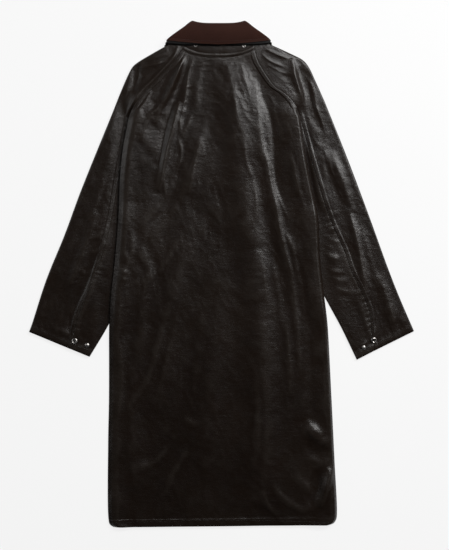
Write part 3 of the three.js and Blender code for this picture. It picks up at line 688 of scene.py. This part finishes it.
def shell(name, outer, inner, side, materials, wear=None):
    """A closed thin shell of cloth. side is 1 where columns cross rows points out of the cloth.
    The hidden inner face has half as many points each way, and its rim joins the two."""
    rows, columns = outer.shape[:2]
    inside = inner[::2, ::2]
    in_rows, in_columns = inside.shape[:2]
    at = np.arange(rows * columns).reshape(rows, columns)
    under = np.arange(in_rows * in_columns).reshape(in_rows, in_columns) + rows * columns
    faces = np.stack([at[:-1, :-1], at[:-1, 1:], at[1:, 1:], at[1:, :-1]], axis=-1).reshape(-1, 4)
    back = [under[:-1, :-1], under[1:, :-1], under[1:, 1:], under[:-1, 1:]]
    back = np.stack(back, axis=-1).reshape(-1, 4)
    borders = [
        (at[:, 0], under[:, 0]), (at[::-1, -1], under[::-1, -1]),
        (at[0, ::-1], under[0, ::-1]), (at[-1, :], under[-1, :]),
    ]
    rims = np.vstack([
        np.stack([top[:-2:2], top[1:-1:2], top[2::2], low[1:], low[:-1]], axis=-1) for top, low in borders
    ])
    if side < 0:
        faces, back, rims = faces[:, ::-1], back[:, ::-1], rims[:, ::-1]
    points = np.vstack([outer.reshape(-1, 3), inside.reshape(-1, 3)]) * MM
    piece = solid(name, points.tolist(), faces.tolist() + back.tolist() + rims.tolist(), materials, 60)
    weave = np.stack([grid_steps(outer, 1), grid_steps(outer, 0)], axis=-1)
    weave = np.vstack([weave.reshape(-1, 2), weave[::2, ::2].reshape(-1, 2)])
    worn = crest(outer) if wear is None else wear
    worn = np.concatenate([worn.ravel(), np.zeros(in_rows * in_columns)])
    attributes = piece.data.attributes
    attributes.new("weave", "FLOAT2", "POINT").data.foreach_set("vector", weave.ravel())
    attributes.new("worn", "FLOAT", "POINT").data.foreach_set("value", worn)
    return piece


def rounded_edge(distance):
    """How far the outer face dips at a cut or turned edge."""
    return EDGE_DIP * np.exp(-np.maximum(distance, 0) / EDGE_ROUNDING)


def seam_lip(distance, lip):
    """A lapped seam: the doubled cloth stands proud along the seam and steps down past it."""
    width, height = lip
    return height * (1 - smooth((distance - width) / LIP_STEP))


def back_grid():
    """The back, with rows from the neck to the hem and columns from left to right."""
    rows = np.linspace(0, BODY_ROWS, BACK_CELLS[0] + 1)
    across = np.linspace(0, 1, BACK_CELLS[1] + 1)
    place = body_places(rows, across)
    edge_share = smooth((rows - RAGLAN_ROWS + 2) / 2)[:, None]
    width = (place[:, -1, 0] - place[:, 0, 0])[:, None]
    from_edge = width * np.minimum(across, 1 - across)[None, :]
    z = back_height(place[..., 0], place[..., 1], from_edge, edge_share)
    on_raglan = 1 - edge_share
    z = z + seam_lip(from_edge * 0.8, RAGLAN_LIP) * on_raglan * smooth(rows / 2)[:, None]
    neck_z = neck_place(mix(-BACK_RAGLAN, BACK_RAGLAN, across))[None, :, 2]
    z = z + (neck_z - z[:1]) * neck_weight(rows)[:, None]
    below_neck = place[:1, :, 1] - place[..., 1]
    ridge = np.exp(-(((below_neck - RIDGE_PLACE) / RIDGE_WIDTH) ** 2))
    hollow = 0.6 * np.exp(-(((below_neck - HOLLOW_PLACE) / HOLLOW_WIDTH) ** 2))
    z = z + NECK_RIDGE * (ridge - hollow) * mix(0.5, 1, smooth((place[..., 0] + 20) / 60))
    from_hem = place[..., 1] - place[-1:, :, 1]
    z = z + seam_lip(from_hem, HEM_LIP) - rounded_edge(from_hem)
    z = z - rounded_edge(from_edge) * (edge_share + 0.5 * on_raglan)
    grid = np.dstack([place, z])
    grid[:, 0, 0] += SEAM_GAP / 2
    grid[:, -1, 0] -= SEAM_GAP / 2
    return grid


def front_grid(outline):
    """A front, from its raglan seam and side edge to its free edge past the coat's middle."""
    side = outline["side"]
    rows = np.linspace(0, BODY_ROWS, FRONT_CELLS[0] + 1)
    t = np.linspace(0, 1, FRONT_CELLS[1] + 1)
    side_end = 0 if side < 0 else 1
    at_side = np.minimum(t / SIDE_STRIP_COLUMNS, 1) * SIDE_STRIP
    beyond = np.clip((t - SIDE_STRIP_COLUMNS) / (1 - SIDE_STRIP_COLUMNS), 0, 1)[None, :, None]

    def in_plan(rows_here):
        place = body_places(rows_here, np.abs(side_end - at_side))
        edge = body_places(rows_here, np.array([0.5]))
        edge[..., 0] = NECK_X - side * OVERLAP / 2
        return mix(place, edge, beyond)

    place = in_plan(np.maximum(rows, RAGLAN_ROWS))
    on_neck = neck_place(side * mix(FRONT_RAGLAN, FRONT_END, t))[None, :, :2] - [0, NECK_GAP]
    down = np.clip(rows / RAGLAN_ROWS, 0, 1)[:, None, None]
    first = in_plan(np.array([RAGLAN_ROWS]))
    seam = line_through(outline["front_raglan"], down[:, 0, 0])[:, None, :]
    to_seam = seam - mix(on_neck[:, :1], first[:, :1], down)
    above = mix(on_neck, first, down) + to_seam * (1 - t)[None, :, None]
    place = np.where((rows < RAGLAN_ROWS)[:, None, None], above, place)
    x, y = place[..., 0], place[..., 1]
    overlap = 0
    if side > 0:
        overlap = 1 - smooth((x - NECK_X - OVERLAP / 2 - OVERLAP_MARGIN) / OVERLAP_RAMP)
    z = neck_lift(x, y, FRONT_SLOPE) + body_lift(x, y) + OVERLAP_LIFT * overlap
    grid = np.dstack([place, z])
    grid[:, 0, 0] -= side * SEAM_GAP / 2
    return grid


def sleeve_rows(outline, stations):
    """The lines of a sleeve in plan, at stations from the neck over the shoulder to the cuff."""
    on_raglan = np.clip(stations / RAGLAN_ROWS, 0, 0.9)
    below = np.clip((stations - RAGLAN_ROWS) / SLEEVE_ROWS, 0, 1)
    crossing = np.clip(stations - (RAGLAN_ROWS - 1), 0, 1)[:, None]
    inner = line_through(outline["inner_fold"], below)
    outer_below = line_through(outline["outer_fold"], below)
    lower = {
        "seam": line_through(outline["back_seam"], below),
        "outer": outer_below,
        "inner": inner,
        "under": mix(inner, outer_below, 0.38),
    }
    upper = {
        "seam": line_through(outline["raglan"], on_raglan),
        "outer": line_through(outline["shoulder"], on_raglan),
        "inner": inner,
        "under": line_through(outline["front_raglan"], on_raglan),
    }
    lines = {name: mix(upper[name], lower[name], crossing) for name in upper}
    at_neck = neck_place(outline["side"] * BACK_RAGLAN)[:2] - [0, NECK_GAP]
    top = np.array(outline["raglan"][0], float)
    lines["seam"] = lines["seam"] + (at_neck - top) * neck_weight(stations)[:, None]
    return lines


def pucker(along, distance, side):
    """Little gathers that a sleeve's seam draws across itself, on both cloths alike."""
    shift = 4.2 * noise(along / 31, along * 0, GATHER_SEED + side)
    strength = np.maximum(0, 0.25 + noise(along / 46, along * 0, GATHER_SEED + side + 5))
    return np.cos(2 * math.pi * along / GATHER_PITCH + shift) * strength * np.exp(-distance / 12)


def folded_grid(seam, fold_line, under, top_height, level, cells):
    """Rings from a seam on the upper layer round a fold to the seam underneath."""
    _, top_cells, fold_cells, bottom_cells = cells
    t = np.linspace(0, 1, top_cells + 1)
    fold_x, fold_y = fold_line[:, :1], fold_line[:, 1:]
    fold_top = top_height(np.ones_like(fold_x), fold_x, fold_y)
    fold_low = level(fold_x, fold_y)
    radius = (fold_top - fold_low) / 2
    inwards = unit(seam - fold_line)
    centre = fold_line + inwards * radius
    plan = mix(seam[:, None, :], centre[:, None, :], t[None, :, None])
    share = np.broadcast_to(t, plan.shape[:2])
    top = np.dstack([plan, top_height(share, plan[..., 0], plan[..., 1])])
    angle = np.linspace(0, math.pi, fold_cells + 1)[None, 1:]
    lean = centre[:, None, :] - inwards[:, None, :] * (radius * np.sin(angle))[..., None]
    turn = np.dstack([lean, (fold_top + fold_low) / 2 + radius * np.cos(angle)])
    s = np.linspace(0, 1, bottom_cells + 1)[None, 1:, None]
    floor_plan = mix(centre[:, None, :], under[:, None, :], s)
    bottom = np.dstack([floor_plan, level(floor_plan[..., 0], floor_plan[..., 1])])
    return np.concatenate([top, turn, bottom], axis=1)


def cuff_shape(stations):
    """The cuff: doubled cloth that stands proud of the sleeve and is turned in at its end."""
    from_cuff = (SLEEVE_STATIONS - stations) / SLEEVE_ROWS * SLEEVE_LENGTH
    return seam_lip(from_cuff, CUFF_LIP) - rounded_edge(from_cuff)


def sleeve_folds(x, y):
    folds = fold_height(SLEEVE_FOLDS, x, y) + SLEEVE_CREASE_SHARE * fold_height(SLEEVE_CREASES, x, y)
    return soft_floor(folds + 0.8 * rumple(x, y, SLEEVE_SEED))


def sleeve_layer(outline, x, y):
    """The outer face of a sleeve beside the body, whose edge presses it down, with its bulge there."""
    clear = outline["side"] * (x - edge_x(outline["body_edge"], y))
    free = smooth((clear - SLEEVE_VALLEY) / SLEEVE_RISE)
    upper, lower, height, reach = outline["bulge"]
    ends = smooth((upper + 20 - y) / 60) * smooth((y - lower + 20) / 60)
    bulge = height * ends * (0.8 + 0.2 * noise(y / 40, y * 0, BULGE_SEED))
    bulge = bulge * smooth(clear / reach) * np.exp(-((np.maximum(clear - reach, 0) / 30) ** 2))
    return mix(SLEEVE_UNDER_BODY, SLEEVE_LOFT + sleeve_folds(x, y), free) + bulge


def sleeve_top_grid(outline):
    """The outer part of a sleeve, with rows from the neck to the cuff."""
    side = outline["side"]
    stations = np.linspace(0, SLEEVE_STATIONS, SLEEVE_CELLS[0] + 1)
    lines = sleeve_rows(outline, stations)
    shift = np.array([side * SEAM_GAP / 2, 0])
    seam, under = lines["seam"] + shift, lines["under"] + shift
    station = stations[:, None]
    edge_share = smooth((station - RAGLAN_ROWS + 2) / 2)
    seam_x, seam_y = lines["seam"][:, :1], lines["seam"][:, 1:]
    on_seam = back_height(seam_x, seam_y, np.zeros_like(seam_x), edge_share)
    along = distances(seam)[:, None]
    below = smooth(station - RAGLAN_ROWS + 1)
    sunk = smooth((station - SINK_START) / (RAGLAN_ROWS - SINK_START))

    def top_height(t, x, y):
        distance = np.hypot(x - seam[:, :1], y - seam[:, 1:])
        folds = sleeve_folds(x, y) * smooth((t - 0.02) / 0.15)
        free = SLEEVE_LOFT + neck_lift(x, y, SLEEVE_SLOPE) + folds
        shoulder = mix(on_seam, free, smooth(t / 0.7))
        gathers = pucker(along, distance, side) * 0.2 * below
        lip = seam_lip(distance, SLEEVE_LIP) * below - rounded_edge(distance) * 0.5
        puff = SEAM_PUFF * np.exp(-(((distance - PUFF_PLACE) / PUFF_WIDTH) ** 2))
        puff = puff * (1 - below) * smooth(station / 1.5) if side < 0 else 0
        layer = mix(shoulder, sleeve_layer(outline, x, y), sunk)
        return layer + gathers + lip + cuff_shape(station) + puff

    def level(x, y):
        return np.where(y > 380, neck_lift(x, y, FRONT_SLOPE), 0.0)

    grid = folded_grid(seam, lines["outer"], under, top_height, level, SLEEVE_CELLS)
    _, top_cells, fold_cells, bottom_cells = SLEEVE_CELLS
    angles = np.concatenate([
        np.linspace(BACK_RAGLAN, SHOULDER_BACK, top_cells + 1),
        np.linspace(SHOULDER_BACK, SHOULDER_FRONT, fold_cells + 1)[1:],
        np.linspace(SHOULDER_FRONT, FRONT_RAGLAN, bottom_cells + 1)[1:],
    ])
    neck = neck_place(side * angles) - [0, NECK_GAP, 0]
    return grid + (neck - grid[0])[None] * neck_weight(stations)[:, None, None]


def sleeve_under_grid(outline):
    """The inner part of a sleeve, with rows from the armpit to the cuff."""
    side = outline["side"]
    stations = np.linspace(RAGLAN_ROWS, SLEEVE_STATIONS, UNDER_CELLS[0] + 1)
    lines = sleeve_rows(outline, stations)
    shift = np.array([side * SEAM_GAP / 2, 0])
    seam, under = lines["seam"] - shift, lines["under"] - shift
    whole = np.linspace(0, SLEEVE_STATIONS, SLEEVE_CELLS[0] + 1)
    start = np.interp(RAGLAN_ROWS, whole, distances(sleeve_rows(outline, whole)["seam"]))
    along = start + distances(seam)[:, None]

    def top_height(t, x, y):
        distance = np.hypot(x - seam[:, :1], y - seam[:, 1:])
        clear = side * (x - edge_x(outline["body_edge"], y))
        gathers = pucker(along, distance, side) * 0.5 * smooth(clear / 20)
        dip = rounded_edge(distance) * 0.5
        return sleeve_layer(outline, x, y) + gathers - dip + cuff_shape(stations[:, None])

    def level(x, y):
        return np.zeros_like(x)

    return folded_grid(seam, lines["inner"], under, top_height, level, UNDER_CELLS)


def collar_grid(edge=None):
    """The outside of the folded collar: rows over the fold, columns round the neck. edge gives the
    section at which each column ends, where that isn't the last one."""
    table = np.array(COLLAR_SECTIONS, float)
    last = len(table) - 1
    half = (FRONT_RAGLAN + FRONT_END) / 2
    degrees = np.linspace(-half, half, COLLAR_CELLS[1] + 1)[None, :]
    ends = last if edge is None else np.interp(np.abs(degrees), *np.array(edge, float).T)
    wanted = np.linspace(0, 1, COLLAR_CELLS[0] + 1)[:, None] * ends * np.ones_like(degrees)
    padded = np.vstack([2 * table[0] - table[1], table, 2 * table[-1] - table[-2]])
    k = np.minimum(wanted.astype(int), last - 1)
    s = (wanted - k)[..., None]
    a, b, c, d = (padded[k + i] for i in range(4))
    rows = 2 * b + (c - a) * s + (2 * a - 5 * b + 4 * c - d) * s**2 + (3 * b - a - 3 * c + d) * s**3
    half_width, back_y, side_y, front_y, back_z, front_z, rise = np.moveaxis(rows / 2, -1, 0)
    angle = np.radians(degrees)
    across = np.abs(np.sin(angle))
    to_back = np.cos(angle)
    start = np.where(to_back >= 0, back_y, front_y)
    power = np.where(to_back >= 0, rise, 2)
    flattened = np.sign(to_back) * np.abs(to_back) ** NECK_FLATNESS
    x = NECK_X + np.sign(np.sin(angle)) * half_width * across**NECK_SQUARENESS
    y = start + (side_y - start) * across**power
    z = (back_z + front_z) / 2 + (back_z - front_z) / 2 * flattened
    return np.dstack([x, y, z])


def offset(grid, normals, distance):
    """A grid moved along its normals, and kept over the floor."""
    moved = grid + normals * distance
    moved[..., 2] = np.maximum(moved[..., 2], 0)
    return moved


def even(normals, times=3):
    """Normals averaged with their neighbours, so that an inner face doesn't cross itself."""
    for _ in range(times):
        n = np.pad(normals, ((1, 1), (1, 1), (0, 0)), mode="edge")
        normals = unit(n[1:-1, 1:-1] * 2 + n[:-2, 1:-1] + n[2:, 1:-1] + n[1:-1, :-2] + n[1:-1, 2:])
    return normals


class Nodes:
    """A short way to lay out a material's nodes. What goes into a socket is a number, a colour or
    another node's output."""

    def __init__(self, name):
        self.material = bpy.data.materials.new(name)
        self.material.use_nodes = True
        self.tree = self.material.node_tree
        self.place = self.node("TexCoord").outputs["Object"]

    def feed(self, node, inputs):
        for key, value in inputs.items():
            socket = node.inputs[key]
            if isinstance(value, bpy.types.NodeSocket):
                self.tree.links.new(value, socket)
            else:
                socket.default_value = (*value, 1) if socket.type == "RGBA" else value

    def node(self, kind, inputs=None, **settings):
        made = self.tree.nodes.new("ShaderNode" + kind)
        for key, value in settings.items():
            setattr(made, key, value)
        self.feed(made, inputs or {})
        return made

    def finish(self, inputs):
        self.feed(self.tree.nodes["Principled BSDF"], inputs)
        return self.material

    def attribute(self, name, output="Vector"):
        return self.node("Attribute", attribute_name=name).outputs[output]

    def noise(self, scale, detail=3.0, roughness=0.55, vector=None):
        """Noise over the object, with scale cells in a metre."""
        inputs = {"Vector": vector or self.place, "Scale": scale, "Detail": detail, "Roughness": roughness}
        return self.node("TexNoise", inputs).outputs["Fac"]

    def ridges(self, scale, detail, roughness, vector=None):
        """Noise folded at its middle value, which draws sharp creases."""
        centred = self.math("SUBTRACT", self.noise(scale, detail, roughness, vector), 0.5)
        return self.math("ABSOLUTE", centred)

    def wave(self, vector, direction, scale, distortion=0.0):
        inputs = {"Vector": vector, "Scale": scale, "Distortion": distortion}
        return self.node("TexWave", inputs, wave_type="BANDS", bands_direction=direction).outputs["Fac"]

    def ramp(self, value, start, end, falling=False):
        """Black up to start and white from end on, or the other way round."""
        made = self.node("ValToRGB", {"Fac": value})
        for element, place, tone in zip(made.color_ramp.elements, (start, end), (falling, not falling)):
            element.position = place
            element.color = (tone, tone, tone, 1)
        return made.outputs["Color"]

    def math(self, operation, a, b=0.0):
        return self.node("Math", {0: a, 1: b}, operation=operation).outputs[0]

    def scaled(self, value, factor, plus=0.0):
        product = self.math("MULTIPLY", value, factor)
        return self.math("ADD", product, plus) if plus else product

    def blend(self, factor, a, b):
        return self.node("Mix", {0: factor, 6: a, 7: b}, data_type="RGBA").outputs[2]

    def bump(self, height, distance, strength, after=None):
        inputs = {"Height": height, "Distance": distance, "Strength": strength}
        if after:
            inputs["Normal"] = after
        return self.node("Bump", inputs).outputs["Normal"]


def waxed_cotton(name, dark, light, worn_colour, roughness):
    """Dark waxed cotton: a fine plain weave, mottled wax, crazing, and pale wear on the crests."""
    n = Nodes(name)
    weave = n.attribute("weave")
    worn = n.attribute("worn", "Fac")
    cloudy = n.noise(5.5, 4)
    mottled = n.noise(38, 5, 0.65)
    patches = n.ramp(n.noise(9, 2), 0.45, 0.68)
    crazing = n.node("TexVoronoi", {"Vector": n.place, "Scale": 46}, feature="DISTANCE_TO_EDGE")
    cracks = n.ramp(crazing.outputs["Distance"], 0.0, 0.05, falling=True)
    base = n.blend(n.ramp(cloudy, 0.35, 0.7), dark, light)
    base = n.blend(n.scaled(mottled, 0.5), base, tuple(0.6 * c for c in dark))
    base = n.blend(n.scaled(n.scaled(worn, mottled), 0.9), base, worn_colour)
    base = n.blend(n.scaled(cracks, 0.10), base, worn_colour)
    rough = n.math("ADD", n.scaled(mottled, 0.22, roughness - 0.11), n.scaled(cloudy, 0.10))
    crosswise = n.node("VectorMath", {0: n.place, 1: (0.5, 1.4, 1.0)}, operation="MULTIPLY")
    crosswise = crosswise.outputs["Vector"]
    threads = n.math("ADD", n.wave(weave, "X", 420), n.wave(weave, "Y", 420))
    normal = n.bump(n.noise(95, 5, 0.6), 0.0006, 0.8)
    normal = n.bump(mottled, 0.0006, 0.6, normal)
    normal = n.bump(n.scaled(n.ridges(27, 3, 0.55), patches), 0.0015, 0.8, normal)
    normal = n.bump(n.scaled(n.ridges(74, 2, 0.5), patches), 0.0005, 0.8, normal)
    normal = n.bump(n.ridges(62, 3, 0.55, crosswise), 0.0011, 0.7, normal)
    normal = n.bump(threads, 0.00005, 0.5, normal)
    return n.finish({
        "Base Color": base, "Roughness": rough, "Normal": normal, "Specular IOR Level": 0.36,
        "Sheen Weight": 0.01, "Sheen Roughness": 0.45, "Sheen Tint": (0.9, 0.85, 0.8),
    })


def needlecord(name):
    """Fine corduroy: soft brown wales, the grooves between them painted darker as painted shade, an
    uneven nap, and crests painted paler, partly worn nap and partly a painted highlight.
    """
    n = Nodes(name)
    wales = n.wave(n.attribute("weave"), "X", math.pi / 10 / WALE_PITCH, 0.25)
    nap = n.noise(60, 5, 0.65)
    base = n.blend(n.ramp(n.noise(14, 3), 0.3, 0.7), (0.030, 0.0100, 0.0072), (0.044, 0.0150, 0.0105))
    base = n.blend(n.scaled(nap, 0.5), base, (0.022, 0.009, 0.0065))
    # Painted shade in the grooves between the wales.
    base = n.blend(n.scaled(n.ramp(wales, 0.05, 0.5, falling=True), 0.45), base, (0.012, 0.005, 0.0035))
    # Paler crests: worn nap, and a painted highlight along the collar's folded edges.
    base = n.blend(n.scaled(n.attribute("worn", "Fac"), 0.35), base, (0.075, 0.034, 0.025))
    normal = n.bump(n.noise(900, 2, 0.7), 0.0003, 0.5, n.bump(wales, 0.0006, 0.8))
    return n.finish({
        "Base Color": base, "Roughness": n.scaled(nap, 0.2, 0.75), "Normal": normal,
        "Specular IOR Level": 0.1, "Sheen Weight": 0.03, "Sheen Roughness": 0.5,
        "Sheen Tint": (0.75, 0.45, 0.36),
    })


def thread(name, dark, light):
    n = Nodes(name)
    twist = n.noise(1400, 2)
    return n.finish({
        "Base Color": n.blend(n.noise(240, 3), dark, light),
        "Roughness": n.scaled(twist, 0.2, 0.45), "Normal": n.bump(twist, 0.0002, 0.6),
    })


def metal(name, colour, tarnish, roughness, metallic=1.0):
    n = Nodes(name)
    stains = n.noise(420, 4, 0.6)
    return n.finish({
        "Base Color": n.blend(n.ramp(stains, 0.45, 0.75), colour, tarnish), "Metallic": metallic,
        "Roughness": n.scaled(stains, 0.25, roughness), "Normal": n.bump(n.noise(2600, 2), 0.00005, 0.5),
    })


def between_rings(rings):
    """Faces that join each ring of point numbers to the next. A ring of one point is a tip."""
    faces = []
    for low, high in zip(rings[:-1], rings[1:]):
        for s in range(len(low)):
            after = (s + 1) % len(low)
            faces.append((low[s], low[after]) + ((high[0],) if len(high) == 1 else (high[after], high[s])))
    return faces


def stitches(name, runs, material):
    """Rows of stitches: each a short thread with round ends, lying on the cloth. A run gives
    points on the cloth in millimetres and the direction out of the cloth at each."""
    turns = 2 * math.pi * np.arange(STITCH_SIDES) / STITCH_SIDES
    points, faces = [], []
    for path, out in runs:
        lengths = distances(path)
        for centre in np.arange(STITCH_PITCH, lengths[-1] - STITCH_PITCH / 2, STITCH_PITCH):
            middle, ahead, up = (
                np.array([np.interp(at, lengths, of[:, i]) for i in range(3)])
                for at, of in ((centre, path), (centre + 1, path), (centre, out))
            )
            along = unit(ahead - middle)
            up = unit(up - along * (up @ along))
            across = np.cross(up, along)
            rings = []
            for at, girth, lift in STITCH_RINGS:
                rings.append([len(points) + s for s in range(STITCH_SIDES)])
                reach = STITCH_THICK * girth
                points += [
                    middle + along * at * STITCH_LENGTH + up * (lift + reach * math.sin(turn))
                    + across * reach * math.cos(turn) for turn in turns
                ]
            faces += between_rings(rings) + [tuple(reversed(rings[0])), tuple(rings[-1])]
    return solid(name, (np.array(points) * MM).tolist(), faces, [material])


def run_beside(grid, side, edge, distance, start=0, stop=None):
    """A line at a constant distance from an edge of a grid, and the directions out of the cloth."""
    turned = []
    for g in (grid, grid_normals(grid) * side):
        if edge in ("right", "bottom"):
            g = g[:, ::-1] if edge == "right" else g[::-1]
        turned.append((g.transpose(1, 0, 2) if edge in ("top", "bottom") else g)[start:stop])
    reach = grid_steps(turned[0], 1) / MM
    return [
        np.array([[np.interp(distance, far, line[:, i]) for i in range(3)] for far, line in zip(reach, g)])
        for g in turned
    ]


def lathed(profile, radius, first):
    """Points of rings round a stud's axis, numbered from first, and the faces between the rings."""
    points, rings = [], []
    for r, z in profile:
        sides = STUD_SIDES if r > 0 else 1
        rings.append([first + len(points) + s for s in range(sides)])
        for s in range(sides):
            turn = 2 * math.pi * s / STUD_SIDES
            points.append((r * radius * math.cos(turn), r * radius * math.sin(turn), z * radius))
    return points, between_rings(rings)


def stud(name, kind, radius, spot, out):
    """A press stud on the cloth: a rolled ring round a socket painted near black, which is painted
    shade in its hollow, or a domed cap in its rim.
    """
    points, faces = lathed(RING_PROFILE if kind == "ring" else CAP_PROFILE, radius, 0)
    bright = len(faces)
    if kind == "ring":
        socket_points, socket_faces = lathed(SOCKET_PROFILE, radius, len(points))
        points, faces = points + socket_points, faces + socket_faces
    turn = Vector((0, 0, 1)).rotation_difference(Vector(out)).to_matrix()
    placed = [(turn @ Vector(p) + Vector(spot)) * MM for p in points]
    base = tuple(reversed(range(STUD_SIDES)))
    piece = solid(name, placed, faces + [base], [nickel, socket], 50)
    # The socket's faces get the near-black metal: painted shade in the ring's hollow.
    for polygon in piece.data.polygons[bright:len(faces)]:
        polygon.material_index = 1
    return piece


def spot_on(carriers, x, y, above):
    """Where a ray straight down from above meets the cloth, in millimetres, and the way out of it."""
    best = None
    for carrier in carriers:
        met, spot, out, _ = carrier.ray_cast(Vector((x, y, above)) * MM, Vector((0, 0, -1)))
        if met and (best is None or spot.z > best[0].z):
            best = (spot, out)
    return best[0] / MM, best[1]


def area_light(name, place, target, size, power):
    data = bpy.data.lights.new(name, "AREA")
    data.shape = "RECTANGLE"
    data.size, data.size_y = size
    data.energy = power
    light = bpy.data.objects.new(name, data)
    light.location = place
    light.rotation_euler = (Vector(target) - Vector(place)).to_track_quat("-Z", "Y").to_euler()
    bpy.context.scene.collection.objects.link(light)


def studio():
    """A plain pale floor, soft boxes at the head and the sides, and a camera straight above."""
    n = Nodes("pale_floor")
    pale = n.finish({
        "Base Color": n.blend(n.noise(0.8, 2), (0.13, 0.13, 0.13), (0.135, 0.135, 0.135)),
        "Roughness": 0.9, "Specular IOR Level": 0.0,
        "Emission Color": (1, 1, 1), "Emission Strength": 0.83,
    })
    corners = [(x * FLOOR_HALF, y * FLOOR_HALF, 0) for x, y in ((-1, -1), (1, -1), (1, 1), (-1, 1))]
    solid("floor", corners, [(0, 1, 2, 3)], [pale])
    for name, box in SOFT_BOXES.items():
        area_light(name, *box)

    scene = bpy.context.scene
    world = bpy.data.worlds.new("studio")
    world.use_nodes = True
    world.node_tree.nodes["Background"].inputs["Color"].default_value = (0.95, 0.96, 1.0, 1)
    world.node_tree.nodes["Background"].inputs["Strength"].default_value = 0.03
    scene.world = world
    scene.view_settings.view_transform = "Standard"

    data = bpy.data.cameras.new("camera")
    data.sensor_width = SENSOR
    data.lens = SENSOR * CAMERA_HEIGHT / (PHOTO_ROWS * PIXEL)
    camera = bpy.data.objects.new("camera", data)
    camera.location = (*PHOTO_CENTRE, CAMERA_HEIGHT + 0.01)
    scene.collection.objects.link(camera)
    scene.camera = camera


cotton = waxed_cotton(
    "waxed_cotton", (0.0078, 0.0041, 0.0023), (0.0118, 0.0066, 0.0038), (0.020, 0.015, 0.0115), 0.30
)
# A darker, rougher copy of the waxed cotton for the fronts under the back: painted shade.
cotton_under_painted_shade = waxed_cotton(
    "waxed_cotton_under_painted_shade", (0.0035, 0.0024, 0.0016), (0.0065, 0.0046, 0.0033), (0.018, 0.015, 0.013), 0.48
)
# A darker, matte copy of the waxed cotton: painted shade for the undercollar under the fall.
cotton_painted_shade = waxed_cotton(
    "waxed_cotton_painted_shade", (0.0016, 0.0012, 0.0010), (0.0028, 0.0021, 0.0018), (0.006, 0.005, 0.0045), 0.72
)
cord_cloth = needlecord("needlecord")
dark_thread = thread("dark_thread", (0.005, 0.004, 0.003), (0.014, 0.011, 0.009))
brown_thread = thread("brown_thread", (0.02, 0.008, 0.006), (0.045, 0.02, 0.014))
nickel = metal("nickel", (0.52, 0.50, 0.48), (0.22, 0.19, 0.17), 0.22)
# Near-black metal for the sockets: painted shade inside the rings.
socket = metal("socket", (0.03, 0.028, 0.026), (0.01, 0.009, 0.008), 0.4, 0.6)

down = np.array([0, 0, -CLOTH])
cloths, sleeves = {}, {}

back = back_grid()
cloths["back"] = shell("cloth_back", back, back + down, -1, [cotton])
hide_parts("back_panel")

for hand, outline in OUTLINES.items():
    side = outline["side"]
    front = front_grid(outline)
    name = "front_" + hand
    unworn = np.zeros(front.shape[:2])
    # The fronts lie under the back and get its painted-shade copy of the cloth.
    cloths[name] = shell("cloth_" + name, front, front - down, -side, [cotton_under_painted_shade], unworn)
    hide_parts(name)
    for layer, grid_of, outwards in (("top", sleeve_top_grid, -side), ("under", sleeve_under_grid, side)):
        grid = grid_of(outline)
        normals = even(grid_normals(grid) * outwards)
        normals[:, 0] = (0, 0, 1)
        normals[:, -1] = (0, 0, -1)
        name = f"sleeve_{layer}_{hand}"
        cloths[name] = shell("cloth_" + name, grid, offset(grid, normals, -CLOTH), outwards, [cotton])
        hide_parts(f"sleeve_{hand}_{layer}")
        sleeves[name] = grid

collar = collar_grid(CORD_EDGE)
collar_out = even(grid_normals(collar) * -1, 6)
cloths["collar"] = shell("cloth_collar", collar, offset(collar, collar_out, -CORD_CLOTH), -1, [cord_cloth])
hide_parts("collar_upper")

whole_collar = collar_grid()
whole_out = even(grid_normals(whole_collar) * -1, 6)
plies = [offset(whole_collar, whole_out, -CORD_CLOTH - PLY_GAP - ply) for ply in (0, CLOTH)]
# Above STAND_TOP the undercollar gets the painted shade; the stand below keeps the coat's cloth.
cloths["under_collar"] = shell("cloth_under_collar", *plies, -1, [cotton_painted_shade, cotton])
for polygon in cloths["under_collar"].data.polygons:
    if polygon.center.z < STAND_TOP * MM:
        polygon.material_index = 1
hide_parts("collar_under")

for name, piece in cloths.items():
    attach(piece, "root")

raglan_end = int(BACK_CELLS[0] * RAGLAN_ROWS / BODY_ROWS)
runs = [run_beside(back, 1, edge, d, 4, raglan_end) for edge in ("left", "right") for d in RAGLAN_STITCHES]
runs += [run_beside(back, 1, "bottom", HEM_STITCHES, 3, -3)]
runs += [run_beside(back, 1, "top", d, 2, -2) for d in NECK_STITCHES]
seams = [stitches("stitches_back", [(path, np.abs(out)) for path, out in runs], dark_thread)]
sleeve_start = int(SLEEVE_CELLS[0] * (RAGLAN_ROWS + 0.6) / SLEEVE_STATIONS)
for hand, outline in OUTLINES.items():
    side = outline["side"]
    top, under = (sleeves[f"sleeve_{layer}_{hand}"] for layer in ("top", "under"))
    runs = [run_beside(top, -side, "left", d, sleeve_start, -2) for d in SLEEVE_STITCHES]
    for grid, outwards, columns in ((top, -side, SLEEVE_CELLS[1]), (under, side, UNDER_CELLS[1])):
        runs += [run_beside(grid[:, :columns + 1], outwards, "bottom", CUFF_STITCHES, 1, columns)]
    seams.append(stitches("stitches_sleeve_" + hand, runs, dark_thread))
runs = [run_beside(collar, -1, "bottom", COLLAR_STITCHES, COLLAR_STITCH_END, -COLLAR_STITCH_END)]
seams.append(stitches("stitches_collar", runs, brown_thread))
for piece in seams:
    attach(piece, "root")

bpy.context.view_layer.update()
for node, kind, radius, x, y in STUDS:
    place, _, hand = node.split("_")
    on = ["sleeve_top_" + hand, "sleeve_under_" + hand] if place == "cuff" else ["under_collar"]
    spot, out = spot_on([cloths[name] for name in on], x, y, OVER[place])
    piece = stud("press_" + node, kind, radius, spot + out * STUD_LIFT, out)
    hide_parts(node)
    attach(piece, "root")

studio()
